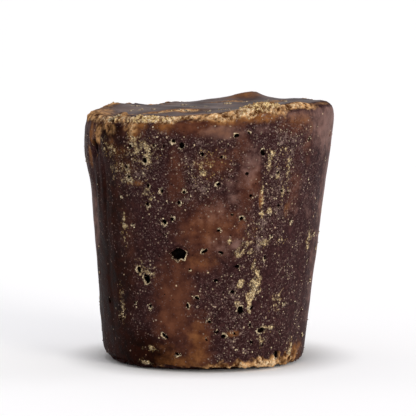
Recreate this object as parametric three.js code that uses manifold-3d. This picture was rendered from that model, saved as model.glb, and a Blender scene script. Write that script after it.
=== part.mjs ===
// A dark jaggery block, poured into a bucket, set, and turned out to stand on its narrow end.
// Millimetres, +Z up. The origin is the centre of the flat foot. Bearings are in degrees, from the
// front (-Y) towards +X, and heights on the wall are shares of the block's height.
import * as THREE from "three";
import { ImprovedNoise } from "three/addons/math/ImprovedNoise.js";
import { mergeVertices } from "three/addons/utils/BufferGeometryUtils.js";
import Module from "manifold-3d";

const { degToRad, smoothstep } = THREE.MathUtils;

// Driving dimensions.
const HEIGHT = 228; // foot to the mean level of the open top
const FOOT_RADIUS = 89.3; // where the flaring wall would meet the floor
const TAPER = degToRad(5.8); // flare of the bucket's wall
const LEAN = 0.031; // sideways run of the block's axis per unit of height
const FOOT_CORNER = 7; // rounding between the foot and the wall
const BRIM_CORNER = 10; // rounding between the wall and the open top
const COLOUR = 0x46302a; // dark brown with a touch of mauve

// The open top slopes up to the right, and more so along its front edge.
const TOP_SLOPE = 0.058;
const TOP_TWIST = 0.00037; // change of that slope for each millimetre towards the back
const TOP_DISH = 2.5; // sink of the middle of the top, where the mass shrank as it set
const TOP_SHARE = 0.55; // share of the height above which the wall follows the top's slope

// Mesh density.
const SPOKES = 80;
const ROWS = { foot: 1, footCorner: 4, wall: 24, brim: 6, top: 12 };
const EGG = { round: 14, rows: 8 };
const WELD = 1e-3; // corners closer together than this are one

// Swellings and hollows of the wall: the middle, the spread each way, and how far out it stands.
const WALL_SWELLS = [
  { bearing: -94, height: 0.85, wide: 30, tall: 0.075, out: 4.4 }, // overhanging lip
  { bearing: -60, height: 0.93, wide: 12, tall: 0.04, out: 1.6 }, // the lip's thick front end
  { bearing: -66, height: 0.8, wide: 7, tall: 0.05, out: -1.4 }, // fold behind that end
  { bearing: 150, height: 0.8, wide: 26, tall: 0.1, out: 2.4 }, // a lesser lip at the back
  { bearing: 70, height: 0.45, wide: 30, tall: 0.2, out: -1.2 }, // shallow hollow on the right
];

// Stretches of brim that are rounded off further: the middle, the half width, and the drop.
const BRIM_SLUMPS = [
  { bearing: 92, wide: 26, drop: 1.4 },
  { bearing: 150, wide: 35, drop: 2 },
];
const SLUMP_REACH = 12; // how far from the brim's corner a slump is felt

// Mounds, ridges and hollows of the open top, each a rounded heap with its own spread and rise.
const TOP_MOUNDS = [
  { x: 41, y: 90, wide: 12, deep: 9, rise: 7 }, // curl of set syrup at the back edge
  { x: 22, y: 94, wide: 12, deep: 7, rise: 3.5 }, // its low tail
  { x: 46, y: -94, wide: 13, deep: 7, rise: 4.5 }, // crumbly crest along the front edge
  { x: 72, y: -72, wide: 14, deep: 8, rise: 2 }, // the crest's lower end
  { x: -20, y: -62, wide: 20, deep: 9, rise: -3 }, // crusted hollow behind the front edge
  { x: -58, y: -84, wide: 13, deep: 7, rise: 1.5 }, // swelling of the front edge
  { x: -83, y: -22, wide: 6, deep: 9, rise: -3.5 }, // popped bubble on the left
  { x: -85, y: 46, wide: 12, deep: 16, rise: 4 }, // raised back of the overhanging lip
  { x: -70, y: 70, wide: 6, deep: 6, rise: 1.6 }, // small knobs of the back edge
  { x: -34, y: 98, wide: 7, deep: 7, rise: 1.8 },
  { x: 10, y: 20, wide: 34, deep: 26, rise: 1.6 }, // low swell of the middle
];

// Blowholes: the middle, the width and height of the mouth, and the depth. Each is an egg that
// breaks the surface.
const BLOWHOLES = [
  { bearing: -14, height: 0.46, across: 12.5, tall: 11, deep: 8 },
  { bearing: -69, height: 0.85, across: 8, tall: 12, deep: 6 },
  { bearing: -33, height: 0.357, across: 5, tall: 8, deep: 5 },
  { bearing: 19, height: 0.241, across: 6, tall: 7, deep: 5 },
  { bearing: 32, height: 0.156, across: 8.5, tall: 4.5, deep: 4 },
  { bearing: 44, height: 0.056, across: 6, tall: 6, deep: 4 },
  { bearing: 26, height: 0.85, across: 5, tall: 5, deep: 4 },
  { bearing: -13, height: 0.88, across: 4.6, tall: 5.4, deep: 4 },
  { bearing: 104, height: 0.66, across: 9, tall: 8, deep: 6 },
  { bearing: 158, height: 0.38, across: 11, tall: 9, deep: 7 },
  { bearing: -128, height: 0.55, across: 7, tall: 10, deep: 6 },
  { bearing: -160, height: 0.2, across: 8, tall: 6, deep: 5 },
];
const MOUTH_SHARE = 0.5; // how far a blowhole's middle lies below the wall, as a share of its depth

// Unevenness of the whole skin, as waves of length and height.
const WAVES = [
  { length: 95, height: 2.2 },
  { length: 38, height: 0.9 },
  { length: 17, height: 0.45 },
];
const FLAT_FOOT = 6; // height above the foot at which the waves reach full strength

const perlin = new ImprovedNoise();

/** The height of a rounded heap at so many spreads from its middle. */
function heap(spreads) {
  return Math.exp(-0.5 * spreads * spreads);
}

/** The shorter way round from one bearing to another, in degrees. */
function turnBetween(from, to) {
  return THREE.MathUtils.euclideanModulo(to - from + 180, 360) - 180;
}

/** The block's outline from the middle of its foot to the middle of its top, as points. */
function outline() {
  const { tan, cos, PI } = Math;
  // A corner's centre lies its own radius inside the sloping wall.
  const inside = (z, corner) => FOOT_RADIUS + z * tan(TAPER) - corner / cos(TAPER);
  const footCentre = new THREE.Vector2(inside(FOOT_CORNER, FOOT_CORNER), FOOT_CORNER);
  const brimZ = HEIGHT - BRIM_CORNER;
  const brimCentre = new THREE.Vector2(inside(brimZ, BRIM_CORNER), brimZ);
  const arc = (centre, radius, from, to) =>
    new THREE.EllipseCurve(centre.x, centre.y, radius, radius, from, to);
  const footArc = arc(footCentre, FOOT_CORNER, -PI / 2, -TAPER);
  const brimArc = arc(brimCentre, BRIM_CORNER, -TAPER, PI / 2);
  const line = (from, to) => new THREE.LineCurve(from, to);
  const stretches = [
    [line(new THREE.Vector2(0, 0), footArc.getPoint(0)), ROWS.foot],
    [footArc, ROWS.footCorner],
    [line(footArc.getPoint(1), brimArc.getPoint(0)), ROWS.wall],
    [brimArc, ROWS.brim],
    [line(brimArc.getPoint(1), new THREE.Vector2(0, HEIGHT)), ROWS.top],
  ];
  return stretches.flatMap(([curve, rows], i) => curve.getPoints(rows).slice(i ? 1 : 0));
}

/** How far the open top stands above its mean level over a point. */
function topRise(x, y) {
  const slope = (TOP_SLOPE - TOP_TWIST * y) * x;
  const brimRadius = FOOT_RADIUS + HEIGHT * Math.tan(TAPER);
  const dish = -TOP_DISH * (1 - smoothstep(Math.hypot(x, y), 0, brimRadius - BRIM_CORNER));
  return slope + dish;
}

/** The rise of the mounds and hollows at a point of the open top. */
function moundRise(x, y) {
  return TOP_MOUNDS.reduce((sum, mound) => {
    const spreads = Math.hypot((x - mound.x) / mound.wide, (y - mound.y) / mound.deep);
    return sum + mound.rise * heap(spreads);
  }, 0);
}

/** How far the wall stands out, beyond its plain taper, at a bearing and height. */
function swellOut(bearing, height) {
  return WALL_SWELLS.reduce((sum, swell) => {
    const round = turnBetween(swell.bearing, bearing) / swell.wide;
    const up = (height - swell.height) / swell.tall;
    return sum + swell.out * heap(Math.hypot(round, up));
  }, 0);
}

/** How far the brim's corner is worn in and down at a bearing, that far from the corner. */
function slump(bearing, fromCorner) {
  return BRIM_SLUMPS.reduce((sum, worn) => {
    const round = turnBetween(worn.bearing, bearing) / worn.wide;
    return sum + worn.drop * heap(round) * heap(fromCorner / SLUMP_REACH);
  }, 0);
}

/** Turns a point of the plain turned form into its place on the real, uneven block. */
function settle(point, normal) {
  const radius = Math.hypot(point.x, point.y);
  const bearing = THREE.MathUtils.radToDeg(Math.atan2(point.x, -point.y));
  const height = point.z / HEIGHT;
  const brimRadius = FOOT_RADIUS + HEIGHT * Math.tan(TAPER);
  const worn = slump(bearing, Math.hypot(radius - brimRadius, point.z - HEIGHT));
  const onWall = 1 - Math.abs(normal.z);
  const out = swellOut(bearing, height) * onWall - worn;
  const outward = new THREE.Vector2(point.x, point.y).divideScalar(Math.max(radius, 1));
  const { x, y, z } = point;
  const unevenness = WAVES.reduce(
    (sum, wave) =>
      sum + wave.height * perlin.noise(x / wave.length, y / wave.length, z / wave.length),
    0,
  );
  point.addScaledVector(normal, unevenness * smoothstep(z, 0, FLAT_FOOT));
  point.x += outward.x * out + LEAN * z;
  point.y += outward.y * out;
  const followsTop = smoothstep(height, TOP_SHARE, 1);
  const nearTop = Math.max(normal.z, 0);
  point.z += topRise(x, y) * followsTop + moundRise(x, y) * nearTop - worn;
  return point;
}

/** The block before its blowholes: a turned form, with every point settled. */
function skin() {
  const geometry = new THREE.LatheGeometry(outline(), SPOKES).rotateX(Math.PI / 2);
  const { position, normal } = geometry.attributes;
  const point = new THREE.Vector3();
  const facing = new THREE.Vector3();
  for (let i = 0; i < position.count; i++) {
    point.fromBufferAttribute(position, i);
    facing.fromBufferAttribute(normal, i);
    const onAxis = Math.hypot(point.x, point.y) < WELD;
    if (onAxis) facing.set(0, 0, point.z > HEIGHT / 2 ? 1 : -1);
    position.setXYZ(i, ...settle(point, facing));
  }
  return geometry;
}

/** The egg that a blowhole takes out of the wall. */
function blowholeEgg({ bearing, height, across, tall, deep }) {
  const angle = degToRad(bearing);
  const z = height * HEIGHT;
  const facing = new THREE.Vector3(Math.sin(angle), -Math.cos(angle), 0);
  const plain = facing.clone().multiplyScalar(FOOT_RADIUS + z * Math.tan(TAPER)).setZ(z);
  const centre = settle(plain, facing.clone()).addScaledVector(facing, -deep * MOUTH_SHARE);
  // The mouth is the egg's section where it breaks the wall.
  const swell = 1 / Math.sqrt(1 - MOUTH_SHARE * MOUTH_SHARE);
  return new THREE.SphereGeometry(1, EGG.round, EGG.rows)
    .scale((across / 2) * swell, deep, (tall / 2) * swell)
    .rotateZ(angle)
    .translate(centre.x, centre.y, centre.z);
}

const wasm = await Module();
wasm.setup();

/** A closed geometry as a solid that can be cut. */
function toSolid(geometry) {
  const bare = geometry.clone().deleteAttribute("normal").deleteAttribute("uv");
  const merged = mergeVertices(bare, WELD);
  const corners = [...merged.index.array];
  const triVerts = [];
  for (let i = 0; i < corners.length; i += 3) {
    const [a, b, c] = corners.slice(i, i + 3);
    if (a !== b && b !== c && c !== a) triVerts.push(a, b, c);
  }
  return new wasm.Manifold(
    new wasm.Mesh({
      numProp: 3,
      vertProperties: merged.attributes.position.array,
      triVerts: new Uint32Array(triVerts),
    }),
  );
}

/** A solid as a geometry that can be drawn. */
function toGeometry(solid) {
  const { vertProperties, triVerts } = solid.getMesh();
  const geometry = new THREE.BufferGeometry();
  geometry.setAttribute("position", new THREE.BufferAttribute(vertProperties, 3));
  geometry.setIndex(new THREE.BufferAttribute(triVerts, 1));
  geometry.computeVertexNormals();
  return geometry;
}

const whole = BLOWHOLES.map(blowholeEgg).reduce(
  (solid, egg) => solid.subtract(toSolid(egg)),
  toSolid(skin()),
);

const block = new THREE.Mesh(
  toGeometry(whole),
  new THREE.MeshStandardMaterial({ color: COLOUR, roughness: 0.45, metalness: 0 }),
);
block.name = "jaggery_block";

const group = new THREE.Group();
group.add(block);

export default group;
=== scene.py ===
"""A dark jaggery block, cast in a bucket and turned out to stand on its narrow end.

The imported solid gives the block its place, its size and its form. This script gives it its skin: a finer
copy of the solid with relief, blowholes and crust, the crumbs and sugar crystals that sit on it, and the
finish of each. Sizes in the classes are in millimetres, and everything handed to Blender is in metres.
Bearings are in degrees from the front (-Y) towards +X. Heights on the wall are shares of the block's
height. The slope of a place is the upward part of its normal: 1 on the open top, 0 on an upright wall and
-1 on the sole.
"""

from __future__ import annotations

import logging
import math
from collections.abc import Iterable
from dataclasses import dataclass
from enum import Enum
from typing import Any

import bmesh
import bpy
import numpy as np
from mathutils import Matrix, Vector, noise
from mathutils.bvhtree import BVHTree
from mathutils.kdtree import KDTree

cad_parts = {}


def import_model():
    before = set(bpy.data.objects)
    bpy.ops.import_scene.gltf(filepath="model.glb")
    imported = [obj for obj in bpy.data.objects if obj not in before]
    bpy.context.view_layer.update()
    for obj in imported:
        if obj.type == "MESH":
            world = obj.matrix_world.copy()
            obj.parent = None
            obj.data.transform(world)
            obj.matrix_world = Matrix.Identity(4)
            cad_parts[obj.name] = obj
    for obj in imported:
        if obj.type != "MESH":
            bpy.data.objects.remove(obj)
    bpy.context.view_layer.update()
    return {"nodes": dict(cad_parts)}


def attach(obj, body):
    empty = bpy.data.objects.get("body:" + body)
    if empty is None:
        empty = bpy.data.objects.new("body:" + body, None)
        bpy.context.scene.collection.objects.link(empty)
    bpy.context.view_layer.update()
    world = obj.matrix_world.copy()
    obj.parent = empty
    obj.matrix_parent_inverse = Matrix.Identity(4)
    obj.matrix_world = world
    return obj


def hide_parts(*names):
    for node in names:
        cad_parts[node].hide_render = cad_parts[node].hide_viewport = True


log = logging.getLogger("jaggery_block")

Shape = bmesh.types.BMesh
Socket = bpy.types.NodeSocket
Range = tuple[float, float]

MM = 0.001
CAD_NODE = "jaggery_block"
CAD_BODY = "root"
BLOCK_HEIGHT = 228.0
NOISE_SEED = 7  # fixes the noise that has a direction, which otherwise differs from run to run

# The sockets of a node that mixes two colours, by number.
SHARE, UNDER, OVER, MIXED = 0, 6, 7, 2


class Zone(Enum):
    """What the skin carries at a place, each kept as an attribute of the mesh, from 0 to 1."""

    CRUST = "crust"  # sugar that boiled over, dried and fused, tan to orange-brown
    GRAIN = "grain"  # pale and granular crust
    OCHRE = "ochre"  # clear orange stain
    AMBER = "amber"  # smooth amber, where the syrup set clear
    BLOOM = "bloom"  # lacy yellow sugar
    FROST = "frost"  # fine pale specks
    SHADE = "shade"  # painted shade on the left side and at the foot, over a dark olive-brown ground
    MAUVE_AND_SHEEN = "mauve"  # smooth mauve-grey skin, and painted sheen along the block's left and right edges and top right
    TOP = "top"  # the open top, its slate tone a painted reflection of the pale surround
    CREST = "crest"  # how high a place lies in its crust, read as painted light on crests and painted shade in creases
    PIT_SHADE = "pit"  # painted shade inside a burst bubble
    RIM = "rim"  # the crystals round its mouth


# ---------------------------------------------------------------------------------------- small sums


def linear(colour: str) -> tuple[float, float, float, float]:
    """Turns an sRGB hex colour into the linear colour that shaders take.

    Args:
        colour: Six hex digits, such as "4a3329".

    Returns:
        Red, green, blue and an alpha of 1.
    """
    shares = [int(colour[i : i + 2], 16) / 255 for i in (0, 2, 4)]
    red, green, blue = ((s / 12.92) if s <= 0.04045 else ((s + 0.055) / 1.055) ** 2.4 for s in shares)
    return red, green, blue, 1.0


def heap(spreads: np.ndarray) -> np.ndarray:
    """The height of a rounded heap at so many spreads from its middle."""
    return np.exp(-0.5 * np.square(spreads))


def ramp(value: np.ndarray, low: float | np.ndarray, high: float) -> np.ndarray:
    """A smooth step from 0 at low to 1 at high."""
    share = np.clip((value - low) / (high - low), 0.0, 1.0)
    return share * share * (3.0 - 2.0 * share)


def turn_between(start: float, end: np.ndarray) -> np.ndarray:
    """The shorter way round from one bearing to another, in degrees."""
    return (end - start + 180.0) % 360.0 - 180.0


def per_mm(size: float) -> float:
    """The scale that gives a texture on Object coordinates a pattern of that size in millimetres."""
    return 1.0 / (size * MM)


class Form(Enum):
    """The forms that a wave of noise can take."""

    SOFT = "soft"  # smooth, from about -1 to 1
    LUMPS = "lumps"  # rounded lumps, from about -0.5 in the creases between them to 0.5 on their tops
    TORN = "torn"  # sharp winding ridges, from about -1 between them to 1 on a ridge


@dataclass(frozen=True)
class Wave:
    """One layer of noise on the skin."""

    size: float  # the length of its waves, the width of its lumps or the gap between its ridges
    seed: float  # shifts the pattern, for another one of the same kind
    share: float = 1.0  # how much it counts
    form: Form = Form.SOFT
    squash: float = 1.0  # how the heights are scaled first; below 1 the pattern runs upwards in streaks
    uneven: float = 0.9  # how far noise moves the creases between lumps, in lumps' widths
    uneven_scale: float = 1.3  # how much finer than the lumps that noise is

    def at(self, points: np.ndarray) -> np.ndarray:
        """Reads the noise, times its share.

        Args:
            points: Places in metres, one to a row.

        Returns:
            One value for each place.
        """
        scaled = points * np.array((1.0, 1.0, self.squash)) * per_mm(self.size)
        if self.form is Form.LUMPS:
            scaled += np.array((self.seed, -self.seed, 2.3 * self.seed))
            shoves = [noise.noise_vector(p) for p in (self.uneven_scale * scaled).tolist()]
            scaled += self.uneven * np.array(shoves)
            return self.share * np.array([0.5 - noise.voronoi(p)[0][0] for p in scaled.tolist()])
        scaled += np.array((self.seed, 1.7 * self.seed, -self.seed))
        values = np.array([noise.noise(p) for p in scaled.tolist()])
        return self.share * (1.0 - 4.0 * np.abs(values) if self.form is Form.TORN else values)


def pile(waves: Iterable[Wave], points: np.ndarray, ground: float | np.ndarray = 0.0) -> np.ndarray:
    """The sum of a ground and some waves at each place."""
    return sum((wave.at(points) for wave in waves), ground)


# -------------------------------------------------------------------------- what the skin is told of


@dataclass(frozen=True)
class Patch:
    """A soft oval on the wall that carries one zone."""

    zone: Zone
    bearing: float
    height: float
    wide: float  # half its width
    tall: float  # half its height
    strength: float = 1.0


@dataclass(frozen=True)
class TopPatch:
    """A soft oval on the open top that carries one zone."""

    zone: Zone
    x: float
    y: float
    wide: float  # half its width
    deep: float  # half its depth
    strength: float = 1.0


@dataclass(frozen=True)
class PatchMix:
    """How many patches of one kind the sides and the back carry, and how they vary."""

    zone: Zone
    count: int
    wide: tuple[float, float]
    tall: tuple[float, float]
    strength: tuple[float, float]


@dataclass(frozen=True)
class Pit:
    """A burst bubble in the wall."""

    bearing: float
    height: float
    across: float
    tall: float
    deep: float
    tilt: float = 0.0  # turn of the mouth in the wall, in degrees
    rim: float = 0.7  # how pale and how thick its crystal rim is
    crescent: float | None = None  # where the rim is thickest: 0 at the right, 90 above, none for chance


@dataclass(frozen=True)
class Crater:
    """A burst bubble in the open top."""

    x: float
    y: float
    across: float
    tall: float
    deep: float
    tilt: float = 0.0
    rim: float = 0.9
    crescent: float | None = None


@dataclass(frozen=True)
class BrimStretch:
    """A stretch of the brim that carries crust."""

    bearing: float
    wide: float  # half width in degrees
    deep: float  # how far down the wall the crust reaches
    strength: float
    grain: float  # how pale and granular it is
    proud: float  # how far it stands out


@dataclass(frozen=True)
class FootStretch:
    """A stretch of the foot's edge that carries crust."""

    bearing: float
    wide: float  # half width in degrees
    tall: float  # how far up the wall the crust reaches
    strength: float
    grain: float  # how pale and granular it is


@dataclass(frozen=True)
class TopSwell:
    """A rounded rise of the open top, over what the solid has."""

    x: float
    y: float
    wide: float
    deep: float
    rise: float


@dataclass(frozen=True)
class Fold:
    """A narrow upright ridge or groove of the wall, where syrup ran or the bucket left a mark."""

    bearing: float
    height: float
    wide: float
    tall: float
    out: float


# The blowholes of the solid come first, at the solid's own places, then the smaller ones.
PITS = [
    Pit(*row)
    for row in (
        (-14, 0.46, 15, 10.5, 9, 6, 0.9, -50), (-65.5, 0.853, 13, 14.5, 12, 14, 0.15),
        (-32, 0.357, 7, 9, 6, 15, 1.0, -150), (19, 0.241, 6.5, 7.5, 6, 0, 0.9, 100),
        (32, 0.156, 9, 5, 5, 8, 0.9, 180), (44, 0.056, 6, 7, 5, -10, 0.6, -120),
        (25, 0.846, 5, 5, 5, 0, 0.5, 90), (-13, 0.876, 5, 6, 5, 10, 0.6, -90), (104, 0.66, 9, 8, 7, 0, 0.7),
        (158, 0.38, 11, 9, 8, 20, 0.7), (-128, 0.55, 7, 10, 7, -10, 0.6), (-160, 0.2, 8, 6, 6, 0, 0.8),
        (-1.3, 0.471, 7, 3.2, 3, 25, 1.0, 130), (-36.5, 0.392, 4.5, 7, 3.5, 5, 1.0, 170),
        (25, 0.247, 3.6, 5.5, 4, -20, 1.0, 200), (10.3, 0.14, 4.5, 4, 4, 25, 0.9, 20),
        (-9.4, 0.259, 3.4, 5, 3.5, 0, 1.0, 0), (-30.2, 0.252, 3.2, 4, 3, 0, 0.9, -90),
        (-4.5, 0.291, 4.5, 3.2, 3.5, -40, 0.9, 120), (-21.8, 0.138, 7.5, 3.2, 3, -38, 1.0, -130),
        (30.7, 0.441, 3.5, 4.5, 4, 0, 0.6), (15.6, 0.411, 4.5, 3.6, 4.5, 0, 0.45),
        (14, 0.313, 4, 3.6, 4, 0, 0.3), (5.1, 0.357, 4, 3.5, 4, 0, 0.2),
        (45.7, 0.575, 3.6, 4.4, 4, 0, 0.9, -60), (16.2, 0.597, 4, 4, 3.5, 0, 0.9, 90),
        (25, 0.18, 3.4, 3, 3.5, 0, 0.4), (26.5, 0.111, 4, 3, 3.5, -15, 0.3),
        (45.7, 0.143, 3, 2.6, 3, 0, 0.3), (53.1, 0.888, 4, 4, 4, 0, 0.5, 60),
        (11.8, 0.914, 5, 3.4, 4, 15, 0.7, 110), (20.2, 0.683, 3.4, 3.2, 4, 0, 0.3),
        (17.7, 0.768, 3.6, 3.4, 4, 0, 0.2), (-3.6, 0.844, 3.6, 3.6, 4, 0, 0.3),
        (-14, 0.658, 3.6, 4, 4, 0, 0.8), (-30.2, 0.648, 4, 4, 4, 0, 0.9, -60),
        (-21.4, 0.583, 4.6, 5, 4.5, 20, 1.0, -100), (-17.4, 0.595, 3.6, 3.6, 3.5, 0, 0.9),
        (-22.6, 0.7, 3.8, 3.6, 4, 20, 0.8), (-29.7, 0.719, 4, 4, 4, 0, 0.6, 0),
        (-11.6, 0.699, 3.4, 3.4, 3, 0, 0.9), (-40.8, 0.749, 4.4, 4.2, 4, 0, 1.0, -80),
        (-42, 0.787, 4, 4, 4, 0, 0.8, 0), (4.2, 0.73, 4, 2.8, 3, 20, 0.8), (7, 0.466, 5, 3, 4, -15, 0.3),
        (2.5, 0.197, 3.4, 3, 3.4, 0, 0.6), (6.7, 0.158, 3.4, 3, 3.4, 0, 0.4),
        (-15, 0.069, 4.5, 3, 3, -20, 0.9, -60), (-31.1, 0.816, 5.2, 5, 5, 0, 1.0, -60),
        (-16.8, 0.893, 3.6, 3.4, 3, 0, 0.9), (-38.5, 0.868, 4, 4, 4, 0, 0.8),
        (-26, 0.875, 3, 3, 3.5, 0, 0.8, 0), (-22.3, 0.838, 3.2, 3, 3.5, 0, 0.9),
    )
]

CRATERS = [
    Crater(*row)
    for row in (
        (-76.5, -65.5, 12, 9, 3.4, 40, 1.0, 60), (-37, -26, 7, 8, 3.0, 10), (-25, -22, 8, 9, 3.4, -15),
        (-13, -27, 6, 7, 3.0, 5), (-46, -64, 4, 3, 2.5), (22, 30, 6, 5, 4.0, 20), (-16, 44, 7, 6, 4.5, -30),
        (62, -22, 5, 6, 4.0, 10), (-44, 12, 5, 4, 3.5, 0), (38, 58, 4.5, 4, 3.0, 35),
        (4, -36, 4, 4, 3.0, 0), (76, 18, 4, 5, 3.0, 0), (-62, 36, 6, 4.5, 3.5, 25),
    )
]

PATCHES = [
    Patch(zone, *row)
    for zone, rows in {
        # Smooth amber, where the syrup set clear under the skin.
        Zone.AMBER: (
            (-15.4, 0.745, 8, 24, 0.75), (2, 0.56, 26, 20, 1.1), (-8.3, 0.43, 20, 11, 1.0),
            (-16.6, 0.296, 16, 26, 1.0), (-17, 0.19, 17, 18, 1.05), (-2.8, 0.10, 10, 24, 1.2),
            (-16, 0.04, 24, 12, 0.9), (14, 0.015, 34, 4, 0.9), (3.0, 0.80, 15, 11, 0.75),
            (17, 0.70, 9, 17, 0.75), (21, 0.75, 7, 12, 1.0), (15, 0.86, 8, 16, 0.55),
            (-9, 0.955, 24, 8, 1.1), (-42, 0.46, 11, 34, 0.5), (-50, 0.62, 9, 20, 0.45),
            (46, 0.70, 8, 22, 0.6), (44, 0.95, 20, 9, 0.7), (6, 0.955, 16, 7, 0.8), (-40, 0.93, 16, 8, 0.7),
            (53, 0.86, 6, 14, 0.6),
        ),
        # Clear orange stains: beside a void, beside pits, under the brim and at the foot.
        Zone.OCHRE: (
            (4, 0.56, 22, 16, 0.24), (22, 0.745, 5, 8, 0.2), (-69, 0.905, 3.2, 10, 0.9),
            (-74, 0.81, 3, 9, 0.7), (-64, 0.90, 9, 8, 0.5), (-51, 0.87, 6, 7, 0.4),
            (-45, 0.80, 14, 16, 0.3), (-22, 0.955, 8, 6, 0.75), (-3, 0.44, 15, 6, 0.36),
            (-37, 0.915, 5, 6, 1.0), (-33, 0.955, 7, 4, 0.8), (15, 0.149, 6, 2.6, 0.9),
            (-37, 0.727, 7, 2.2, 0.7), (25.5, 0.664, 1.8, 7, 0.8), (62, 0.05, 14, 9, 0.6),
            (42, 0.62, 3, 6, 0.6), (-2.8, 0.10, 8, 22, 0.5), (-14, 0.035, 22, 8, 0.5),
            (-22, 0.075, 12, 9, 0.3), (4, 0.925, 16, 5, 0.45), (6, 0.975, 14, 4.5, 0.8),
            (22, 0.985, 18, 5, 0.9), (44, 0.97, 18, 6, 0.45), (54, 0.935, 3, 7, 0.4),
            (-52, 0.985, 6, 4, 1.2), (-10, 0.975, 16, 3, 0.5),
        ),
        # Smooth mauve skin and a grey veil under the brim, and painted sheen along the right and left edges
        # and the top right.
        Zone.MAUVE_AND_SHEEN: (
            (12, 0.70, 8, 16, 0.5), (60, 0.64, 8, 14, 0.5), (6, 0.62, 10, 10, 0.4), (8, 0.50, 11, 10, 0.6),
            (4, 0.62, 16, 12, 0.35), (76, 0.94, 36, 20, 1.25), (44, 0.985, 22, 4, 0.7),
            (24, 0.94, 7, 4, 0.6), (48, 0.68, 9, 20, 0.35), (84, 0.66, 17, 40, 0.85),
            (80, 0.36, 14, 44, 0.7), (-88, 0.55, 20, 34, 0.8), (-78, 0.95, 14, 8, 0.7),
            (5, 0.925, 14, 5, 1.2), (14.3, 0.497, 4.2, 5.2, 0.85), (-76, 0.56, 9, 26, 0.7),
            (20, 0.80, 9, 18, 0.6),
        ),
        # Painted shade in the hollow under the lip.
        Zone.PIT_SHADE: (
            (-66, 0.853, 4.5, 6, 1.0),
        ),
        # Crust that ran down under the lip.
        Zone.CRUST: (
            (-61, 0.935, 6, 14, 0.8), (-52, 0.935, 9, 6, 0.65),
        ),
        # Lacy clusters of pale yellow sugar.
        Zone.BLOOM: (
            (26.8, 0.37, 3.6, 8, 0.8), (26.4, 0.335, 4.2, 7.5, 0.95), (28.5, 0.35, 2.2, 2.2, 1.1),
            (24.3, 0.29, 3.6, 4.2, 1.1), (23.6, 0.252, 1.4, 4.0, 1.3), (25, 0.40, 3.6, 7, 0.6),
            (18.3, 0.343, 2.2, 2.8, 1.6), (16.8, 0.265, 2.8, 2.2, 1.1), (16.2, 0.463, 3.4, 3.4, 0.85),
            (18.5, 0.495, 2.6, 4, 0.8), (22, 0.53, 4, 12, 0.25), (33, 0.112, 3.4, 6, 0.5),
            (11.2, 0.51, 1.8, 1.8, 1.1), (22, 0.465, 4.4, 1.4, 0.9), (31, 0.621, 1.9, 1.9, 1.9),
            (26.6, 0.608, 1.3, 2.2, 1.4), (-33, 0.85, 14, 11, 0.50), (-29.5, 0.835, 4, 7, 0.85),
            (-45, 0.79, 6, 9, 0.42), (-41, 0.775, 3, 5, 0.65), (-50, 0.85, 5, 6, 0.45),
            (-31, 0.865, 5, 5, 0.75), (-50, 0.78, 8, 14, 0.32), (-40.5, 0.735, 3.6, 2.4, 1.1),
            (-44.5, 0.728, 3.0, 2.2, 0.9), (-38, 0.90, 5, 5, 0.55), (-56, 0.87, 6, 8, 0.35),
            (-30, 0.68, 4, 10, 0.55), (-45, 0.55, 3, 14, 0.45), (29, 0.825, 3.4, 11, 0.5),
            (36, 0.845, 4.0, 5, 0.6), (40, 0.79, 2.6, 13, 0.5), (34, 0.76, 2.0, 7, 0.6),
            (26, 0.67, 1.7, 11, 0.8), (38, 0.69, 1.6, 8, 0.6), (30, 0.50, 6, 2.6, 0.7),
            (40, 0.50, 7, 2.0, 0.5), (-50.4, 0.243, 3.0, 13, 0.62), (65, 0.49, 4, 7, 0.8),
            (36, 0.164, 9, 1.8, 0.85), (-35, 0.028, 6, 2.2, 1.0), (-32, 0.085, 7, 2.0, 0.8),
            (41, 0.27, 6, 9, 0.42), (0, 0.81, 14, 12, 0.25), (-3, 0.775, 5, 1.8, 1.0),
            (-7, 0.76, 2.4, 5, 0.6), (-36, 0.40, 4, 6, 0.65), (-30, 0.385, 4, 3, 0.7),
            (56, 0.07, 3, 8, 0.7),
        ),
        # Dense specks.
        Zone.FROST: (
            (-6, 0.76, 30, 30, 0.75), (-33, 0.82, 24, 28, 0.65), (36, 0.78, 24, 30, 0.75),
            (-24, 0.58, 16, 18, 0.35), (8, 0.90, 14, 7, 0.7), (36, 0.92, 28, 13, 1.0),
            (22, 0.56, 16, 20, 0.8), (12, 0.24, 22, 30, 0.4), (45, 0.24, 20, 30, 0.1),
            (-30, 0.34, 16, 10, 0.45), (-30, 0.12, 12, 8, 0.35), (20, 0.09, 26, 22, 0.55),
        ),
        # Painted shade on the left side and at the foot's left, over a dark olive-brown ground.
        Zone.SHADE: (
            (-64, 0.30, 34, 60, 1.0), (-88, 0.24, 20, 50, 1.1), (-52, 0.93, 16, 9, 1.0),
            (-60, 0.62, 24, 44, 0.75), (-50, 0.84, 22, 18, 0.6), (-42, 0.05, 36, 20, 1.1),
            (-22, 0.86, 10, 8, 0.4),
        ),
    }.items()
    for row in rows
]

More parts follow.
